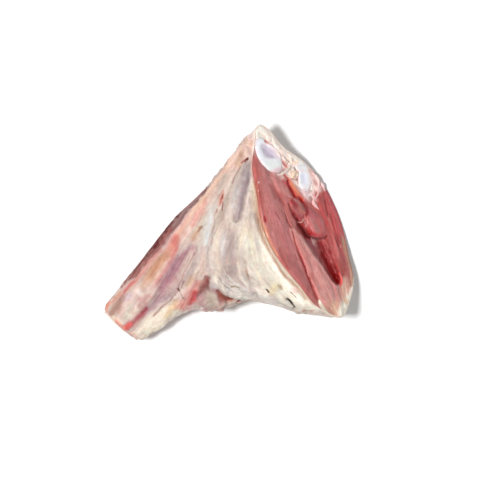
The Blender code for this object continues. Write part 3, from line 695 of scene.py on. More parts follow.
cutStrokes = [
    ("long muscle", [(260, 172), (267, 210), (283, 252), (302, 286)], [6, 12, 11, 6], (190, 118, 115), 2.2,
     0.6),
    ("its upper strip", [(255.4, 158), (257, 172), (259.6, 190), (262, 208)], [2.4, 3, 3, 1.6],
     (187, 103, 97), 0.4, 0.8, 0.9),
    ("its brick streak", [(258, 188), (262, 206), (266, 222)], [0.8, 1.6, 1.2], (170, 84, 77), -0.5, 1, 0.6),
    ("its red spot", [(264.6, 218), (265.4, 222)], [1, 1.4], (146, 46, 46), -0.6, 0.6),
    ("its dark middle", [(270, 186), (277, 196), (284, 206)], [1.6, 3, 1.2], (164, 80, 76), -0.6, 0.9, 0.85),
    ("its smooth top", [(272, 178), (281, 186), (288, 195)], [3, 4, 2], (196, 130, 126), 0.8, 0.7, 0.9),
    ("its mauve middle", [(272, 212), (284, 232), (292, 252)], [3, 5, 4], (188, 114, 115), 0.5, 0.9, 0.8),
    ("its dark nick", [(275, 212), (278.6, 218.6)], 0.8, (150, 76, 72), -0.5, 0.6),
    ("its lower dark", [(279, 250), (283, 260), (287, 268)], [2, 2.4, 2], (166, 84, 80), -0.4, 0.9, 0.9),
    ("its orange edge", [(264, 228), (268, 240), (276, 254)], [2, 2, 1.2], (196, 130, 106), 0, 0.8, 0.9),
    ("its dark upper edge", [(256, 184), (257.4, 202), (260.6, 220)], [1, 1.8, 1], (170, 98, 82), 0, 0.8,
     0.9),
    ("its brown edge", [(260.6, 220), (266, 240), (273, 253), (283, 270), (297, 286), (309, 301)],
     [1, 1.6, 1.4, 1.2, 1.2, 1.2], (186, 134, 106), 0, 0.7, 0.9),
    ("its mauve low", [(288, 258), (296, 272), (306, 288)], [3, 4, 3], (178, 98, 97), 0.4, 0.9, 0.8),
    ("pale wedge", [(293, 231), (302.6, 250), (313.6, 273), (326, 298)], [3, 6.4, 8, 8], (211, 144, 139), 2.2,
     0.4),
    ("wedge's bright side", [(296, 238), (304, 256), (312, 274)], [1.6, 2, 1.6], (200, 124, 119), 0.5, 0.8,
     0.9),
    ("wedge's rosy low side", [(311, 276), (316, 287), (321, 297)], [2.4, 4, 3.4], (182, 106, 100), -0.2, 1,
     0.85),
    ("wedge's pale side", [(301, 236.6), (307, 246), (315, 256.6), (322.6, 267.6), (331.4, 279.4),
     (336.6, 287.4)], 1.5, (214, 160, 153), 0.9, 0.7, 0.9),
    ("wedge's foot", [(323, 286), (328, 296), (333, 303)], [7, 8, 6], (211, 148, 141), 0.6),
    ("wedge's tan tip", [(334, 308), (338, 313)], [6, 5], (226, 182, 156)),
    # Painted shade: the groove above the wedge and the long groove, darkest deep in its middle, are painted
    # dark red where shade falls in them, over the meat's own red.
    ("groove above the wedge", [(285, 214), (288, 223), (292, 229)], [0.6, 1, 0.6], (144, 66, 66), -1, 0.8,
     0.9),
    ("long groove", [(292, 232), (296, 246), (300.6, 258), (305, 269), (309.4, 281), (315, 294), (318, 302)],
     [0.6, 1.1, 1.5, 1.8, 1.7, 1.4, 0.8], (152, 60, 58), -1.3, 0.9, 0.9),
    ("long groove's deep part", [(300, 257), (305, 269), (308.6, 279)], 0.7, (136, 46, 46), -0.6, 0.9, 0.9),
    ("right muscles", [(322, 195), (331, 222), (338, 248), (344, 268)], [7, 9, 8, 5], (176, 84, 82), 1.2,
     0.6),
    ("bright muscle", [(319, 196), (323, 206), (328, 220)], [4, 4.2, 3], (170, 72, 72), 1, 0.8),
    ("outer muscle", [(328, 192), (337, 212), (342, 232)], [3, 4, 3], (190, 78, 82), 1, 0.7),
    ("outer muscle's dark", [(332, 214), (334, 228), (340, 242)], [1.6, 2.4, 1.6], (156, 64, 64), -0.8, 0.8,
     0.9),
    # Painted shade: the outer groove is painted as a dark line of shade between the right muscles.
    ("outer groove", [(326, 200), (329, 216), (334, 232), (339, 246)], 0.9, (150, 58, 58), -1.2, 0.6, 0.9),
    ("bright streak", [(329, 216), (334, 234), (337, 248), (340, 262)], 1.3, (206, 112, 108), 0.6, 0.7, 0.9),
    ("inner right strip", [(327, 238), (331, 252), (337, 266), (341, 276)], [2.4, 2.6, 2.4, 1.6],
     (176, 78, 76), 0.8, 0.8, 0.9),
    ("dark nicks", [(330, 248), (331.6, 254)], 0.7, (140, 48, 50), -0.6, 0.6),
    ("mauve corner", [(338, 262), (342, 270), (345, 282)], [3.8, 4.8, 3.6], (168, 76, 70), 0.6),
    ("brown corner", [(345, 282), (347, 296)], [4, 5.4], (226, 186, 166), 0, 0.9, 0.9),
    ("right edge", [(344, 238), (347, 252), (352, 268), (353, 286)], [1, 1.2, 1.6, 1.6], (182, 146, 120), 0,
     0.7, 0.9),
    ("pocket's plum wall", [(306, 236.6), (311, 244), (316, 252), (321, 261)], [2.2, 3.8, 3.4, 2],
     (140, 70, 75), -1.8, 0.6),
    ("pocket's grey spot", [(313.4, 240), (316, 246)], 1.2, (166, 128, 124), 0, 0.8, 0.9),
    # The pocket: the meat's own dark red, painted darker still down its deep run, at its end and along one
    # side as painted shade in the recess.
    ("pocket", [(321, 244), (326.4, 256), (332.6, 270), (338.4, 281)], [3.8, 5, 4.8, 3.2], (154, 58, 60), -4,
     0.7),
    ("pocket's deep run", [(323, 255), (330.6, 268), (337, 279)], [2, 2.8, 2.6], (138, 35, 39), -1.6),
    ("pocket's end", [(336.6, 276), (338.4, 282.6)], [1.6, 2], (142, 6, 8), -1.2, 0.6),
    ("pocket's dark side", [(320.6, 262.6), (328, 273), (333.4, 281), (336.8, 284.8)], [0.8, 1, 1.1, 1.2],
     (114, 33, 37), -0.6, 1, 0.8),
    ("pocket's pink side", [(339.6, 273), (342, 279), (341, 285)], [1, 1.3, 1], (232, 104, 100), 0.8, 0.6),
    ("tongue", [(309, 213), (315.4, 223), (318.4, 229)], [5, 8, 7.2], (182, 96, 96), 3.6, 0.3),
    ("tongue's pale side", [(309, 217), (312, 224), (315, 230)], [1.6, 2.4, 1.8], (200, 120, 118), 0.3, 0.9,
     0.9),
    ("tongue, top", [(308, 210), (314, 216)], [3, 3], (178, 88, 94), 0, 0.9, 0.9),
    ("tongue's brown streak", [(313, 220), (319, 231)], [1.4, 1.8], (166, 118, 112), -0.3, 0.8, 0.8),
    ("tongue's red edge", [(309, 232), (317, 235.6), (325, 232), (326.6, 224)], [1.6, 2, 2, 1.6],
     (186, 74, 76), 0, 0.7, 0.9),
    # Under the tongue: the meat's own deep red with painted shade where the tongue overhangs, near black in
    # the line along the tongue's foot.
    ("dark under the tongue", [(299, 222.6), (302, 228), (305.6, 232.6), (310.6, 236)], [2.4, 3.8, 3.6, 2],
     (148, 0, 6), -2.2, 0.8),
    ("black under the tongue", [(298, 225), (302, 229), (304.6, 233.2), (309.6, 237), (315.4, 239),
     (321.4, 238.4), (327.6, 235.6)], [1, 1.9, 1.9, 1.6, 1.3, 1, 0.6], (96, 0, 6), -1),
    ("knob", [(294, 204), (298, 211), (300, 217)], [3.6, 5, 4], (182, 94, 95), 2.4, 0.4),
    # Painted highlight: a pale line along the knob's top.
    ("knob's pale top", [(292, 200), (297, 201.6), (301.4, 205.6), (303, 211)], [0.9, 1.5, 1.5, 0.9],
     (212, 148, 144), 0.3, 0.9, 0.9),
    ("knob's pale foot", [(297, 219.4), (301, 219.8)], 0.9, (206, 146, 142), 0.2, 0.9, 0.8),
    ("knob's warm side", [(300, 207), (303, 213)], 1.8, (192, 112, 102), 0, 0.9, 0.9),
    ("knob's dark top", [(292, 201), (296, 206)], [1.6, 2.4], (160, 52, 56), -0.5, 0.7),
    ("knob's dark foot", [(296, 216), (301, 219)], [1.4, 1.6], (162, 64, 68), 0, 0.7),
    # Painted shade: the groove left of the knob and the gap right of it are painted dark where shade falls in
    # them.
    ("groove left of the knob", [(289, 204), (291, 210), (294, 216), (298, 221.4)], [0.6, 1.1, 1.6, 1.3],
     (116, 36, 40), -1.1),
    ("gap right of the knob", [(301.6, 200), (305, 206), (307, 212), (306, 216)], [1.4, 2.6, 1.8, 0.8],
     (136, 44, 44), -1.4, 0.8),
    ("pale line by the pocket", [(311.6, 238.6), (313.2, 242), (314.4, 245.6)], 0.5, (192, 150, 147), 0.2,
     0.9, 0.8),
    ("pale line in the pocket", [(316.6, 257), (319, 262), (322.6, 267)], 0.5, (190, 140, 138), 0.2, 0.9,
     0.7),
    ("small white dot", [(258.6, 184)], 0.9, (238, 206, 196), 0.5, 0.5),
    ("second white dot", [(258.8, 192.6)], 0.6, (228, 190, 176), 0.4, 0.5),
    ("third white dot", [(341.6, 246.8)], 0.7, (228, 172, 162), 0.4, 0.5),
    ("tip fat, left", [(318.6, 300), (321, 307), (327, 314)], [1, 1.8, 2], (244, 226, 206), 0.6, 0.5),
    ("tip fat, low", [(324, 313), (333, 317), (341, 316.6), (347, 311)], [2, 2, 2.4, 3], (240, 224, 204), 0.5,
     0.6),
    ("tip fat, right", [(341, 312), (347, 305), (351, 297), (353, 288)], [3.4, 4.6, 3.4, 1.6],
     (248, 234, 218), 0.6, 0.7),
    ("tip's tan wedge", [(343.6, 297), (347, 302)], [0.9, 2], (224, 188, 158), 0.3, 0.7, 0.9),
    ("fat round the knuckle", knuckleFat["path"], knuckleFat["wide"], (238, 217, 208), 0, 0.25),
    ("apex fat", [(255, 134), (263, 129), (272, 137), (279, 146)], [6, 6, 4, 3.6], (246, 226, 214), 1, 0.6),
    ("right fat", [(280, 147), (290, 154), (300, 159), (308, 168)], [3, 4, 4, 3], (243, 224, 213), 1.2, 0.6),
    ("seat of the left joint face", [(260, 142), (267, 154), (275, 163)], [3.4, 6.4, 5.6], None, -3, 0.4),
    ("seat of the right joint face", [(302.6, 167), (304.8, 177), (306.6, 185)], [3, 4.4, 3.6], None, -3,
     0.4),
    ("red nick at the apex", [(264, 141.6), (268, 143)], [0.7, 0.9], (214, 130, 128), -0.4, 0.6),
    ("red between the faces", [(282, 161), (285, 164.6), (287.4, 167)], [0.8, 1.3, 1], (222, 134, 128), -0.6,
     0.8),
    ("pink between the faces", [(280, 166), (284, 170)], [1.6, 1.4], (226, 176, 180), 0, 0.8, 0.9),
    ("dark line by the bridge", [(276.6, 173.8), (281, 173), (285, 170)], 0.7, (164, 122, 116), -0.6, 0.8),
    ("peach fat", [(293.4, 175), (297, 172)], [3, 2.4], (240, 206, 182), 1, 0.7),
    ("fat's dark edge", [(292, 179), (297, 180), (298.4, 175.6)], 0.7, (176, 122, 104), -0.5, 0.6, 0.9),
    ("peach fat above", [(293, 161), (298, 161)], 1.8, (240, 208, 186), 0.6, 0.8),
    ("dark nick in the fat", [(294.6, 166), (295.4, 169)], 0.8, (132, 112, 108), -0.8, 0.5),
    ("grey of the right face", [(297, 165), (301, 163)], 2, (226, 222, 220), 0, 0.8, 0.9),
    ("capsule", [(311, 172), (318, 180), (320, 188)], [3, 4, 3], (232, 196, 190), 1, 0.6),
    ("capsule's pale lip", [(318, 177), (323, 182), (326, 189)], [1.2, 1.5, 1], (238, 204, 200), 0.8, 0.6),
    # Painted shade: the capsule's hollow is painted greyer and darker where shade falls in it.
    ("capsule's hollow", [(315, 180), (317, 183.6)], [1, 1.4], (196, 158, 156), -0.8, 0.7),
    ("pink foot of the face", [(302, 190), (308, 194), (314, 199)], [3, 4.6, 3], (222, 184, 180), 0.4, 0.8),
    ("its pale middle", [(304, 190), (309, 194), (311, 197)], [2.4, 3.2, 1.8], (236, 214, 214), 0.5),
    # Painted shade: the grey hollow at the face's foot is painted darker where shade falls in it.
    ("its grey hollow", [(311.6, 197), (313, 199.6)], 1.4, (178, 136, 134), -0.6, 0.7),
    ("orange marrow", [(285, 176), (290, 182), (293, 189), (298, 195), (303, 199)], [1.2, 2.1, 2.4, 2, 1],
     (200, 92, 78), -0.6, 1),
    ("orange's yellow side", [(291, 182.6), (295, 188.6), (299, 194)], [0.8, 1.7, 1.2], (226, 140, 104), 0.3,
     0.8, 0.9),
    ("orange's deep core", [(288, 182), (291, 190), (294.6, 196.4)], [1.2, 1.8, 1.8], (150, 20, 18), -1.6),
    ("orange's red foot", [(295, 197), (299, 199), (302.6, 201.6)], [1.4, 1.8, 1.2], (158, 26, 22), -1.2,
     0.8),
    ("rose beside it", [(284, 182), (288, 185)], [1.8, 2], (190, 66, 74), 0, 0.8, 0.9),
]

# The skin's own edge where it rolls over the cut.
rimStrokes = [
    ("rim beside the long muscle", [(254, 160), (256, 186), (260, 222), (273, 254), (297, 287), (312, 303)],
     4, (214, 190, 168)),
    ("rim beside the upper muscle", [(254, 182), (255, 200), (258, 216), (263, 230)], [3, 4, 4, 2],
     (196, 152, 132)),
    ("rim at the window", [(252.6, 158), (252.6, 178)], 4, (206, 166, 156)),
    ("rim at the fat", [(253, 150), (256, 132), (264, 128), (275, 137), (290, 151), (306, 163), (313, 171)],
     7, (247, 228, 216)),
    ("rim at the capsule", [(314, 172), (320, 177), (325, 184)], 4, (234, 198, 192)),
    ("rim beside the outer muscle", [(328, 190), (336, 206), (343, 228), (345, 242)], 5, (186, 82, 84)),
    ("rim, brown", [(346, 247), (351, 262), (353, 276)], 5, (168, 120, 102)),
    ("rim, cream", [(354, 284), (352, 298), (345, 312), (333, 317), (320, 314)], 5, (238, 222, 204)),
]

boneStrokes = [
    ("left face's low light", [(268, 165), (274, 167), (279, 166)], [4, 5, 3.6], (232, 236, 233), 0.4, 0.8),
    ("left face's blue side", [(258, 140), (257.6, 148), (260, 156)], [2.4, 2.6, 2.4], (237, 240, 248)),
    ("left face's pink foot", [(274, 171.6), (279, 169)], [2, 2], (236, 208, 216)),
    ("left face's grey top", [(260, 138), (262.6, 139.6)], 1.4, (216, 224, 222), 0, 0.9, 0.8),
    # The left joint face's hollow: the cartilage's own lilac tone, with painted shade darkening its deep
    # part.
    ("hollow", [(264.6, 148), (269, 152.6), (275.6, 154)], [3.6, 5.4, 4.2], (217, 205, 220), -2.2, 0.55),
    ("hollow's deep part", [(264.4, 150), (268, 155), (273, 156.6)], [1.8, 2.6, 1.6], (194, 182, 200), -0.8,
     0.8, 0.95),
    ("hollow's rosy side", [(273, 149), (279, 156)], [2.4, 2.6], (234, 218, 226), 0, 0.9, 0.9),
    ("face's fatty border", [(265, 143.4), (271, 145.4), (277, 149.6), (281, 156)], [1.2, 1.2, 1.4, 1.4],
     (244, 228, 222), 0.7, 0.7),
    ("right face's grey top", [(298, 165), (303, 163)], [3, 3], (227, 224, 222)),
    ("right face's pink", [(301, 169), (304, 170)], 1.6, (238, 224, 230), 0, 0.9, 0.8),
    ("right face's dip", [(303.6, 175), (304.6, 181)], [2.4, 2.4], (225, 227, 242), -0.7),
    ("right face's pale side", [(310, 172), (311.6, 180), (310, 188)], [1.8, 1.8, 1.6], (240, 226, 226)),
    ("right face's foot", [(304, 187), (308, 187)], 2, (238, 234, 238), 0.3),
]

# Shreds of sinew and fat that stand up from the cut. Each row: path, half width in pixels, how high above the
# cut it runs, and colour.
shreds = [
    ([(277, 175.4), (281, 174.4), (285.4, 171.4), (288.6, 168), (291, 164.6)], [0.6, 1.2, 1.6, 1.5, 0.9], 0.2,
     (240, 222, 212)),
    ([(318.4, 187), (318.6, 193), (316, 198), (313.6, 201.6), (316, 205.4), (319.4, 209)],
     [1.5, 1.5, 1.4, 1.6, 1.9, 1.2], 1.1, (234, 190, 186)),
    ([(287, 195.4), (290, 196.8), (293, 197.4)], [0.3, 0.6, 0.3], 0.3, (218, 160, 158)),
    ([(297, 222), (301, 222.4), (303.6, 219.6), (306.4, 216.4), (308.6, 213.4)], [0.4, 0.8, 0.6, 0.8, 0.4],
     0.3, (214, 164, 160)),
    ([(303, 220.4), (305.6, 223.6), (308.4, 227)], [0.3, 0.5, 0.3], 1.2, (210, 150, 148)),
    ([(288.4, 156.4), (291, 159.4), (292.4, 163)], [1.2, 2, 1.2], 0.3, (244, 220, 206)),
    ([(297, 171.4), (294, 173.6), (292, 177.6)], [1.6, 2.2, 1.6], 0.9, (242, 212, 190)),
    ([(282.4, 156), (284.6, 159.6), (288, 162)], 1.3, 0.7, (242, 214, 206)),
    ([(312.6, 171.6), (317, 175.6), (319.6, 181), (319.4, 187)], [1.4, 1.8, 1.8, 1.4], 0.9, (240, 206, 200)),
    ([(321, 180.4), (324, 184), (325.4, 188.6)], [1.2, 1.5, 1], 0.9, (238, 204, 202)),
    ([(311.4, 189.6), (307.4, 192.4), (302.6, 192)], 1.3, 0.6, (232, 200, 200)),
]
shredLook = {
    "sides": 12,
    "steps": 6,
    "wander": (3, 61, 2),
    "wanderBy": 0.3,
    "bumps": (1.5, 62, 2),
    "bumpsBy": 0.22,
    "shade": (2, 63, 2),
    "shadeBy": 0.08,
    "endWidth": 0.3,
    "tip": 0.5,                  # how far its points reach beyond the path, in half widths
}


# How far red stands above green, as a share, where meat begins to be lean and where it is.
leanFrom = (0.30, 0.62)


def addObject(name, data):
    made = bpy.data.objects.new(name, data)
    bpy.context.scene.collection.objects.link(made)
    return made


def makeMesh(name, points, faces, colour, grain, material):
    # a smooth mesh in metres. Its points keep their colour, their place in the grain, and how lean they are,
    # which is how far red stands above green.
    mesh = bpy.data.meshes.new(name)
    mesh.from_pydata((points * metre).tolist(), [], [face for group in faces for face in group.tolist()])
    colour = np.clip(colour, 0, 1)
    lean = smoothStep(*leanFrom, 1 - colour[:, 1] / np.maximum(colour[:, 0], 0.01))
    paint = np.concatenate([colour, np.ones((len(colour), 1))], axis=1)
    for key, kind, field, values in [("paint", "FLOAT_COLOR", "color", paint),
                                     ("grain", "FLOAT_VECTOR", "vector", grain),
                                     ("lean", "FLOAT", "value", lean)]:
        layer = mesh.attributes.new(key, kind, "POINT")
        layer.data.foreach_set(field, np.ascontiguousarray(values, np.float32).ravel())
    mesh.shade_smooth()
    mesh.materials.append(material)
    print(name, len(mesh.polygons), "faces")
    return addObject(name, mesh)


def ringFaces(rings):
    # quads between rings of point numbers that close on themselves
    beside = np.roll(rings, -1, axis=1)
    return np.stack([rings[:-1], rings[1:], beside[1:], beside[:-1]], -1).reshape(-1, 4)


def fanFaces(ring, tip):
    # triangles from a closed ring of point numbers to one tip
    return np.stack([ring, np.full_like(ring, tip), np.roll(ring, -1)], -1)


def closedFaces(rows, around, sawCount):
    # the faces of a closed surface whose points are its rows, their tip, the rings of the sawn end from near
    # its middle out to the first row, and that end's tip
    rings = np.arange(rows * around).reshape(rows, around)
    sawTip = rings.size + 1 + sawCount
    saw = np.concatenate([np.arange(rings.size + 1, sawTip).reshape(-1, around), rings[:1]])
    faces = [ringFaces(rings), fanFaces(rings[-1], rings.size), ringFaces(saw)]
    return faces + [fanFaces(saw[0], sawTip)[:, ::-1]]


def ringShares(count):
    return np.linspace(0, 1, count + 1)[1:-1, None, None]


class Value:
    # a shader socket that can stand in a sum: each operator adds a Math node
    def __init__(self, graph, socket):
        self.graph = graph
        self.socket = socket

    def __add__(self, other):
        return self.graph.math("ADD", self, other)

    def __mul__(self, other):
        return self.graph.math("MULTIPLY", self, other)

    __radd__ = __add__
    __rmul__ = __mul__


class Graph:
    def __init__(self, name):
        self.material = bpy.data.materials.new(name)
        self.material.use_nodes = True
        self.nodes = self.material.node_tree.nodes
        self.links = self.material.node_tree.links
        self.place = self.node("ShaderNodeTexCoord", output=3)

    def feed(self, socket, value):
        if isinstance(value, Value):
            self.links.new(value.socket, socket)
        else:
            socket.default_value = value

    def node(self, kind, settings=None, sockets=None, output=0):
        # one node: its settings first, then the values or links of its sockets
        made = self.nodes.new(kind)
        for key, value in (settings or {}).items():
            if key == "stops":
                for element, (place, grey) in zip(made.color_ramp.elements, value):
                    element.position = place
                    element.color = (grey, grey, grey, 1)
            else:
                setattr(made, key, value)
        for key, value in (sockets or {}).items():
            self.feed(made.inputs[key], value)
        return Value(self, made.outputs[output])

    def math(self, operation, a, b):
        return self.node("ShaderNodeMath", {"operation": operation}, {0: a, 1: b})

    def vector(self, operation, *values):
        return self.node("ShaderNodeVectorMath", {"operation": operation}, dict(enumerate(values)))

    def tint(self, share, colour, tint):
        # the colour multiplied by the tint, as far as the share says
        return self.node("ShaderNodeMix", {"data_type": "RGBA", "blend_type": "MULTIPLY"},
                         {"Factor": share, 6: colour, 7: (*tint, 1)}, output=2)

    def attribute(self, name, output=0):
        return self.node("ShaderNodeAttribute", {"attribute_name": name}, output=output)

    def noise(self, vector, scale, detail=3.0, roughness=0.55, output=0):
        return self.node("ShaderNodeTexNoise", None,
                         {"Vector": vector, "Scale": scale, "Detail": detail, "Roughness": roughness}, output)

    def warped(self, vector, scale, amount):
        # the vector moved about by soft noise, so that its lines turn wavy
        centred = self.vector("SUBTRACT", self.noise(self.place, scale, 2.0, 0.5, 1), (0.5, 0.5, 0.5))
        return self.vector("MULTIPLY_ADD", centred, (amount, amount, amount), vector)

    def ramp(self, value, low, high):
        # 0 below low and 1 above high, or the other way round
        stops = [(low, 0.0), (high, 1.0)] if low < high else [(high, 1.0), (low, 0.0)]
        return self.node("ShaderNodeValToRGB", {"stops": stops}, {"Fac": value})

    def bump(self, strength, distance, height):
        return self.node("ShaderNodeBump", None,
                         {"Strength": strength, "Distance": distance, "Height": height})

    def finish(self, sockets):
        for key, value in sockets.items():
            self.feed(self.nodes["Principled BSDF"].inputs[key], value)
        return self.material


# Moist silverskin and fat, and cut muscle. Each layer: its pattern, where it starts and where it is full, how
# strong it is, how much stronger on lean meat, and its tint.
silverskin = {
    "waves": (130.0, 1.6),
    "bundles": (0.42, 0.8, 0.4),
    "strands": (1.2, 1.7, 1.1),
    "mottle": 190.0,
    "speckle": 620.0,
    "layers": [("bundles", 0.50, 0.70, 0.50, 0, (1.12, 1.12, 1.12)),
               ("strands", 0.50, 0.32, 0.50, 0, (0.80, 0.70, 0.67)),
               ("mottle", 0.50, 0.68, 0.45, 0, (0.93, 0.80, 0.78)),
               ("speckle", 0.56, 0.72, 0.50, 0, (1.14, 1.17, 1.16)),
               ("speckle", 0.44, 0.30, 0.50, 0, (0.86, 0.80, 0.79))],
    "rough": (0.35, 0.26, 0.20),  # how much the mottling adds, the least, and how much lean meat adds
    "bumps": 0.0013,
    "sockets": {"Subsurface Radius": (1.0, 0.35, 0.2), "Coat Weight": 0.06, "Coat Roughness": 0.25,
                "Specular IOR Level": 0.4},
}
cutFlesh = {
    "waves": (140.0, 1.4),
    "bundles": (0.5, 0.9, 0.5),
    "strands": (1.4, 1.9, 1.2),
    "mottle": 160.0,
    "speckle": 640.0,
    "layers": [("bundles", 0.50, 0.34, 0.15, 0.40, (0.82, 0.62, 0.60)),
               ("strands", 0.46, 0.32, 0.15, 0.45, (0.80, 0.60, 0.58)),
               ("strands", 0.55, 0.68, 0.15, 0.50, (1.14, 1.28, 1.28)),
               ("mottle", 0.50, 0.70, 0.35, 0, (0.92, 0.78, 0.78)),
               ("speckle", 0.56, 0.72, 0.45, 0, (1.12, 1.18, 1.18))],
    "rough": (0.32, 0.18, 0.0),
    "bumps": 0.0012,
    "sockets": {"Subsurface Radius": (1.0, 0.25, 0.15), "Coat Weight": 0.15, "Coat Roughness": 0.20},
}


# What both have in common.
tissue = {
    "pores": 1100.0,
    "relief": {"bundles": 0.8, "strands": 0.7, "speckle": 0.4, "pores": 0.15},
    "bumpStrength": 0.9,
    "sockets": {"Subsurface Weight": 0.08, "Subsurface Scale": 0.0012, "IOR": 1.4},
}
cartilageLook = {
    "mottle": 240.0,
    "pores": 1400.0,
    "haze": (0.48, 0.75),
    "hazeStrength": 0.35,
    "hazeTint": (0.93, 0.86, 0.88),
    "rough": (0.2, 0.14),
    "bump": (0.3, 0.0006),
    "sockets": {"Subsurface Weight": 0.15, "Subsurface Radius": (1.0, 0.6, 0.5), "Subsurface Scale": 0.0015,
                "Coat Weight": 0.3, "Coat Roughness": 0.12, "IOR": 1.42},
}


def tissueMaterial(name, look):
    # the painted colour, drawn out into wavy bundles and strands, with mottling, specks and pores
    g = Graph(name)
    lean = g.attribute("lean", 2)
    wavy = g.warped(g.attribute("grain", 1), *look["waves"])
    pattern = {"bundles": g.noise(g.vector("MULTIPLY", wavy, look["bundles"]), 1.0, 4.0),
               "strands": g.noise(g.vector("MULTIPLY", wavy, look["strands"]), 1.0, 4.0, 0.65),
               "mottle": g.noise(g.place, look["mottle"], 5.0, 0.65),
               "speckle": g.noise(g.place, look["speckle"]),
               "pores": g.noise(g.place, tissue["pores"], 2.0)}
    colour = g.attribute("paint")
    for key, start, full, strength, onLean, tint in look["layers"]:
        share = lean * onLean + strength if onLean else strength
        colour = g.tint(g.ramp(pattern[key], start, full) * share, colour, tint)
    bump = g.bump(tissue["bumpStrength"], look["bumps"], layered(pattern, tissue["relief"]))
    byMottle, least, byLean = look["rough"]
    rough = pattern["mottle"] * byMottle + least + lean * byLean
    return g.finish({"Base Color": colour, "Roughness": rough, "Normal": bump,
                     **tissue["sockets"], **look["sockets"]})


def cartilageMaterial():
    # wet cartilage and bone: smooth, milky and glossy, with faint clouding
    look = cartilageLook
    g = Graph("cartilage")
    mottle = g.noise(g.place, look["mottle"])
    height = mottle + g.noise(g.place, look["pores"], 2.0) * 0.2
    haze = g.ramp(mottle, *look["haze"]) * look["hazeStrength"]
    byMottle, least = look["rough"]
    return g.finish({"Base Color": g.tint(haze, g.attribute("paint"), look["hazeTint"]),
                     "Roughness": mottle * byMottle + least, "Normal": g.bump(*look["bump"], height),
                     **look["sockets"]})


def makeSkin(material):
    # the outside: sections from the saw to the cut, raised and sunk along their normals, then the skin's own
    # edge rolled in over the cut, and both ends closed
    look = skinLook
    around = shank["around"]
    turns = np.arange(around) * 2 * np.pi / around
    turns = turns + shank["closer"] * (np.cos(turns) - 1)
    s, angle = np.meshgrid(np.linspace(0, 1, shank["along"]), turns, indexing="ij")
    base = flankAt(s, angle)
    normal = gridNormals(base)
    flat = base.reshape(-1, 3)
    outwardPlan = normal.reshape(-1, 3)[:, :2]
    fibre, along, way = combed(flat[:, :2], skinGuides)
    grain = grainOf(fibre, along, flat[:, 2] * look["grainDepth"])
    noise = noiseOf(look, grain, flat)
    steep = smoothStep(*look["steep"], np.abs(normal[..., 2])).reshape(-1, 1)
    seed, run, wander = look["fray"]
    asked = frayed(flat, fibre, along, way, seed, run, wander + look["steepFray"] * steep)
    asked += outwardPlan * cloud(flat, *look["steepDrift"])[:, None] * look["steepDriftBy"] * steep

    top = tissueColour(look, skinStrokes, lightOn["skin"], flat, asked, noise)
    below = baseOf(look["underside"])
    for patches in ("meaty", "fatty"):
        shape, byWide, start, full, patchColour = look[patches]
        share = smoothStep(start, full, cloud(flat, *shape)[:, None] + byWide * noise["wide"])
        below = blended(below, baseOf(patchColour), share)
    wavy = look["upperEdgeBy"] * cloud(flat, *look["upperEdge"])
    upper = smoothStep(*look["upperFrom"], np.sin(angle).ravel() + wavy)[:, None]
    colour = textured(blended(below, top, upper), look, noise)
    for patches, tint in look["tints"]:
        colour = colour * (1 + smoothStep(0.1, 0.9, cloud(grain, *patches)[:, None]) * tint)

    fade = smoothStep(0, look["fadeAtCut"], 1 - s)
    topShare = np.sqrt(np.clip(np.sin(angle), 0, 1))
    rise = reliefOf(asked, skinStrokes).reshape(s.shape) * smoothStep(0, look["fadeAtSides"], topShare)
    rise += layered(noise, look["relief"]).reshape(s.shape)
    rise += cloud(flat, *look["swell"]).reshape(s.shape) * look["swellHeight"]
    sawRound, roundedTo = shank["sawRound"]
    rise -= sawRound * (1 - smoothStep(0, roundedTo, s)) ** 2
    points = base + normal * (rise * fade)[..., None]
    points[..., 2] -= foldStep(base, topShare * fade)
    points = overTable(points)

    rim = base[-1]
    inward, outward = rimWays(rim)
    inward = inward * (1 + look["lipWavesBy"] * cloud(rim, *look["lipWaves"])[:, None])
    lip = overTable(np.concatenate([rim + inward * into + outward * out for into, out in shank["lip"]]))
    last = lip[-around:]
    behind = last.mean(axis=0) - outward * shank["lipDepth"]
    inner = (behind + (last - behind) * ringShares(shank["lipRings"])[::-1]).reshape(-1, 3)

    sawOut = endWays(0)[2]
    rings = ringShares(shank["sawRings"])
    centre = points[0].mean(axis=0)
    saw = (centre + (points[0] - centre) * rings + sawOut * shank["sawBulge"] * (1 - rings**2)).reshape(-1, 3)
    saw += sawOut * (cloud(saw, *look["sawRough"]) * look["sawRoughBy"])[:, None]
    fromEdge = 1 - np.repeat(rings.ravel(), around)[:, None]
    fromEdge = fromEdge + look["sawEdgeBy"] * cloud(saw, *look["sawEdge"])[:, None]
    fat = smoothStep(*look["sawFatTo"], fromEdge)
    sawColour = baseOf(look["sawMeat"]) * (1 + look["sawShadeBy"] * cloud(saw, *look["sawShade"])[:, None])
    sawColour = blended(sawColour, baseOf(look["sawFat"]), fat)

    edge = np.concatenate([lip, inner])
    edgeColour = paintOver(np.tile(baseOf(look["lip"]), (len(edge), 1)), edge[:, :2], rimStrokes)
    nearRim = smoothStep(look["rimFrom"], 1.0, s).reshape(-1, 1)
    colour = blended(colour, paintOver(colour, flat[:, :2], rimStrokes), nearRim)
    edgeGrain = np.tile(grain[-around:], (len(edge) // around, 1))
    everything = np.concatenate([points.reshape(-1, 3), edge, behind[None], saw,
                                 (centre + sawOut * shank["sawBulge"])[None]])
    faces = closedFaces(shank["along"] + len(edge) // around, around, len(saw))
    paint = np.concatenate([colour, edgeColour, edgeColour[:1], sawColour, sawColour[:1]])
    grains = np.concatenate([grain, edgeGrain, grain[:1], saw, centre[None]])
    return makeMesh("meat_skin", everything, faces, paint, grains, material)


def rimWays(rim):
    # for each point of the cut's rim, the way in towards the middle within the cut, and the way out of it
    outward = endWays(1)[2]
    inward = unit(np.cross(outward, np.roll(rim, -2, axis=0) - np.roll(rim, 2, axis=0)))
    return inward * np.sign(np.sum(inward * (rim.mean(axis=0) - rim))), outward


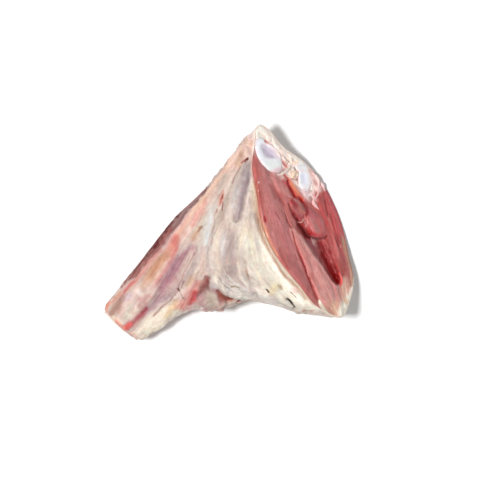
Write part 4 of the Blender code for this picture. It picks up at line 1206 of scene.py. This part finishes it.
def makeCut(material):
    # the cut muscle: straight across between the two sides of the rim, then raised and sunk, with a plain
    # back inside the meat
    half = cut["columns"]
    turns = np.arange(2 * half) * np.pi / half
    rim = flankAt(np.ones(len(turns)), turns)
    inward, outward = rimWays(rim)
    rim = rim + inward * cut["inset"]
    rows = np.linspace(0, 1, cut["rows"] + 1)[:, None, None]
    left = rim[:half + 1]
    right = np.concatenate([rim[:1], rim[:half - 1:-1]])
    front = blended(right, left, rows).reshape(-1, 3)
    flat = front.copy()
    plan = flat[:, :2]
    fibre, along, way = combed(plan, cutGuides)
    grain = grainOf(fibre, along, fibre * cut["grainDepth"])
    noise = noiseOf(cut, grain, flat)
    asked = frayed(flat, fibre, along, way, *cut["fray"])
    colour = textured(tissueColour(cut, cutStrokes, lightOn["cut"], flat, asked, noise), cut, noise)

    toSide = np.minimum(rows[..., 0], 1 - rows[..., 0]) * np.linalg.norm(left - right, axis=1)
    toEnd = np.sin(np.linspace(0, np.pi, half + 1)) * cut["endRoom"]
    inside = smoothStep(0.0, cut["flatRim"], np.minimum(toSide, toEnd).ravel())
    rise = reliefOf(asked, cutStrokes) + layered(noise, cut["relief"])[:, 0]
    lumpy = strokeWeight(plan, knuckleFat["path"], knuckleFat["wide"], knuckleFat["soft"])
    rise += lumpy * cloud(flat, *cut["lumps"]) * cut["lumpHeight"]
    flat[:, 2] += rise * inside
    middle = flat.mean(axis=0)
    back = middle - outward * cut["backDepth"] + (front - middle) * cut["backSize"]
    back = overTable(back, cut["backHeight"])

    # All rows meet at both ends, so each end keeps one point.
    used = np.ones((cut["rows"] + 1, half + 1), bool)
    used[1:, [0, -1]] = False
    used = used.ravel()
    index = (np.cumsum(used) - 1).reshape(-1, half + 1)
    index[:, [0, -1]] = index[0, [0, -1]]
    inner = index[:, 1:-1]
    ends = np.full((len(index) - 1, 2), index[0, [0, -1]])
    faces = [np.stack([inner[:-1, :-1], inner[:-1, 1:], inner[1:, 1:], inner[1:, :-1]], -1).reshape(-1, 4),
             np.stack([ends[:, 0], inner[:-1, 0], inner[1:, 0]], -1),
             np.stack([inner[:-1, -1], ends[:, 1], inner[1:, -1]], -1)]
    count = used.sum()
    loop = np.concatenate([index[0, :-1], index[-1, :0:-1]])
    wall = ringFaces(np.stack([loop, loop + count]))
    faces = faces + [group[:, ::-1] + count for group in faces] + [wall]
    twice = np.concatenate([used, used])
    points = np.concatenate([flat, back])[twice]
    paint = np.concatenate([colour, colour])[twice]
    return makeMesh("cut_muscle", points, faces, paint, np.concatenate([grain, grain])[twice], material)


def makeBone(material):
    # a tapering shaft, its sections turning from upright at the saw to the knuckle's lean in the cut, closed
    # by the knuckle's end and by a sawn ring of bone round its marrow
    around = bone["around"]
    turns = np.arange(around) * 2 * np.pi / around
    s, angle = np.meshgrid(np.linspace(0, 1, bone["along"]), turns, indexing="ij")
    middle = np.stack([smoothCurve(bone["at"], bone[k], s) for k in "xyz"], -1) + shank["toOrigin"]
    startAcross, startUp, sawOut = endWays(0)
    endAcross, endUp, outward = endWays(1)
    turn = np.radians(bone["knuckleTurn"])
    share = (s ** bone["turnPower"])[..., None]
    across = unit(blended(startAcross, endAcross * np.cos(turn) - endUp * np.sin(turn), share))
    up = blended(startUp, endUp * np.cos(turn) + endAcross * np.sin(turn), share)
    up = unit(up - across * np.sum(up * across, -1, keepdims=True))
    wide = smoothCurve(bone["at"], bone["across"], s) * np.cos(angle)
    thick = smoothCurve(bone["at"], bone["through"], s) * np.sin(angle)
    knuckle = smoothStep(bone["endFrom"], 1.0, s)[..., None]
    shaft = middle + across * wide[..., None] + up * thick[..., None] + outward * knuckle * bone["saddle"]
    flare = knuckle * bone["flare"]
    ring = shaft.mean(axis=1, keepdims=True)
    shaft = ring + (shaft - ring) * (1 + flare) + up * flare * bone["through"][-1]

    shares = ringShares(bone["capRings"])[::-1]
    endMiddle = shaft[-1].mean(axis=0)
    cap = (endMiddle + (shaft[-1] - endMiddle) * shares).reshape(-1, 3)
    inside = smoothStep(0.0, bone["flatBorder"], 1 - np.repeat(shares.ravel(), around))
    cap[:, 2] += cloud(cap, *bone["lumps"]) * bone["lumpHeight"] * inside
    tip = cap[-around:].mean(axis=0)

    shaft[0] += sawOut * bone["proud"]
    centre = shaft[0].mean(axis=0)
    rings = ringShares(bone["sawRings"])
    sunk = bone["marrowDepth"] * smoothStep(*bone["marrowSunk"], rings)
    saw = (centre + (shaft[0] - centre) * rings - sawOut * sunk).reshape(-1, 3)
    marrow = smoothStep(*bone["marrowTo"], np.repeat(rings.ravel(), around)[:, None])
    sawColour = blended(baseOf(bone["ring"]), baseOf(bone["marrow"]), marrow)

    points = np.concatenate([shaft.reshape(-1, 3), cap, [tip], saw, [centre - sawOut * bone["marrowDepth"]]])
    shaftColour = np.tile(baseOf(bone["shaft"]), (bone["along"] * around, 1))
    capColour = np.tile(baseOf(bone["cap"], lightOn["bone"]), (len(cap) + 1, 1))
    colour = np.concatenate([shaftColour, capColour, sawColour, sawColour[:1]])
    faces = closedFaces(bone["along"] + len(shares), around, len(saw))
    return makeMesh("shin_bone_surface", points, faces, colour, points, material)


def onCut(plan):
    # the points of the cut's plane over these spots
    shin = sectionFrame(np.array(1.0))[0]
    outward = endWays(1)[2]
    height = shin[2] - (plan - shin[:2]) @ outward[:2] / outward[2]
    return np.concatenate([plan, height[:, None]], axis=1)


def makeJointFace(name, outline, material):
    # a closed cushion: rings from its outline, laid clockwise on the cut, to its middle; its height follows
    # the root of one less a high power of the share from the middle, then strokes raise and dent it
    look = jointFace
    around = look["around"]
    spots = seen(outline)
    wrapped = np.concatenate([spots[-2:], spots, spots[:3]])
    fine = np.arange(around) * len(spots) / around
    edge = np.stack([smoothCurve(np.arange(-2, len(spots) + 3), wrapped[:, k], fine) for k in range(2)], -1)
    beside = np.roll(edge, -1, axis=0)
    if np.sum(edge[:, 0] * beside[:, 1] - edge[:, 1] * beside[:, 0]) > 0:
        edge = edge[::-1]
    middle = edge.mean(axis=0)
    share = 1 - np.linspace(0, 1, look["rings"] + 1)[:-1, None, None] ** look["crowd"]
    plan = (middle + (edge - middle) * share).reshape(-1, 2)
    fromMiddle = np.repeat(share.ravel(), around)
    lift = (look["sink"] + look["crown"]) * np.sqrt(1 - fromMiddle ** look["roundness"]) - look["sink"]
    top = onCut(plan)
    inside = smoothStep(0.0, look["flatBorder"], 1 - fromMiddle)
    dents = reliefOf(plan, boneStrokes) + cloud(top, *look["lumps"]) * look["lumpHeight"]
    top[:, 2] += lift + dents * inside
    light = lightOn["bone"]
    paint = paintOver(np.tile(baseOf(look["ground"], light), (len(top), 1)), plan, boneStrokes, light)
    wavy = fromMiddle + look["borderWavesBy"] * cloud(top, *look["borderWaves"])
    border = look["borderStrength"] * smoothStep(*look["borderFrom"], wavy)[:, None]
    paint = blended(paint, baseOf(look["border"], light), border)
    foot = onCut(middle[None])[0] - (0, 0, 2 * look["sink"])
    points = np.concatenate([top, [top[-around:].mean(axis=0)], [foot]])
    colour = np.concatenate([paint, paint[-1:], paint[:1]])
    rings = np.arange(len(top)).reshape(-1, around)
    faces = [ringFaces(rings), fanFaces(rings[-1], len(top)), fanFaces(rings[0], len(top) + 1)[:, ::-1]]
    return makeMesh(name, points, faces, colour, points, material)


def makeShreds(material):
    # closed tubes along the shreds' paths: rings square to the path, narrowing to a point at both ends
    look = shredLook
    turns = np.arange(look["sides"]) * 2 * np.pi / look["sides"]
    points = np.zeros((0, 3))
    colours = []
    faces = []
    for path, width, over, colour in shreds:
        curve, wide = smoothPath(path, width, look["steps"])
        middle = onCut(curve)
        middle[:, 2] += over + look["wanderBy"] * cloud(middle, *look["wander"])
        run = unit(np.gradient(middle, axis=0))
        side = unit(np.cross(run, (0.0, 0.0, 1.0)))
        ring = side[:, None] * np.cos(turns)[:, None] + np.cross(side, run)[:, None] * np.sin(turns)[:, None]
        bow = np.sqrt(np.clip(np.sin(np.linspace(0, np.pi, len(curve))), 0, 1))
        thick = (wide * blended(look["endWidth"], 1, bow))[:, None]
        thick = thick * (1 + look["bumpsBy"] * cloud(middle[:, None] + ring * 2, *look["bumps"]))
        tube = (middle[:, None] + ring * thick[..., None]).reshape(-1, 3)
        tips = [middle[0] - run[0] * wide[0] * look["tip"], middle[-1] + run[-1] * wide[-1] * look["tip"]]
        rings = np.arange(len(tube)).reshape(-1, look["sides"]) + len(points)
        tip = len(points) + len(tube)
        faces += [ringFaces(rings), fanFaces(rings[0], tip)[:, ::-1], fanFaces(rings[-1], tip + 1)]
        added = np.concatenate([tube, tips])
        shade = 1 + look["shadeBy"] * cloud(added, *look["shade"])
        colours.append(baseOf(colour, lightOn["cut"]) * shade[:, None])
        points = np.concatenate([points, added])
    return makeMesh("sinew_shreds", points, faces, np.concatenate(colours), points, material)


# Lamps: the pixel each hangs over, its height and size in metres, and its power.
studio = {
    "lamps": {"key": ((-520, 280), 1.6, 0.28, 30), "fill": ((1500, 150), 1.5, 0.9, 7)},
    "aim": (0.02, 0.0, 0.03),
    "world": 0.24,
    "table": (0.82, 0.82, 0.82, 1),
    "tableSide": 3.0,            # half of it, in metres
}


def makeTable():
    side = studio["tableSide"]
    mesh = bpy.data.meshes.new("table")
    corners = [(-side, -side, 0), (side, -side, 0), (side, side, 0), (-side, side, 0)]
    mesh.from_pydata(corners, [], [(0, 1, 2, 3)])
    pale = {"Base Color": studio["table"], "Roughness": 0.9, "Specular IOR Level": 0.0}
    mesh.materials.append(Graph("pale_table").finish(pale))
    return addObject("table", mesh)


def makeLight(name, pixel, height, size, power):
    # a square soft lamp, aimed at the shank
    lamp = bpy.data.lights.new(name, "AREA")
    lamp.shape = "SQUARE"
    lamp.size = size
    lamp.energy = power
    light = addObject(name, lamp)
    light.location = (*seen(pixel) * metre, height)
    aim = Vector(studio["aim"]) - light.location
    light.rotation_euler = aim.to_track_quat("-Z", "Y").to_euler()


def makeCamera():
    data = bpy.data.cameras.new("camera")
    data.lens = view["lens"]
    data.sensor_width = view["sensor"]
    data.clip_start = 0.05
    camera = addObject("camera", data)
    distance = view["pictureWidth"] * view["lens"] / view["sensor"]
    x, y = view["middle"]
    camera.location = (x * metre, y * metre, (view["focusHeight"] + distance) * metre)
    camera.rotation_euler = (0, 0, np.radians(view["turn"]))
    bpy.context.scene.camera = camera


makeCamera()
makeTable()

skin = makeSkin(tissueMaterial("silverskin", silverskin))
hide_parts("meat")
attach(skin, "root")

muscle = makeCut(tissueMaterial("cut_muscle", cutFlesh))
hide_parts("meat")
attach(muscle, "root")

shredded = makeShreds(skin.data.materials[0])
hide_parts("meat")
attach(shredded, "root")

cartilage = cartilageMaterial()
for bonePiece in (makeBone(cartilage), makeJointFace("left_joint_face", jointFace["left"], cartilage),
                  makeJointFace("right_joint_face", jointFace["right"], cartilage)):
    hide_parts("shin_bone")
    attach(bonePiece, "root")

scene = bpy.context.scene
scene.view_settings.view_transform = "Standard"
world = bpy.data.worlds.new("studio")
scene.world = world
world.use_nodes = True
world.node_tree.nodes["Background"].inputs["Color"].default_value = (1, 1, 1, 1)
world.node_tree.nodes["Background"].inputs["Strength"].default_value = studio["world"]
for lampName, lamp in studio["lamps"].items():
    makeLight(lampName, *lamp)
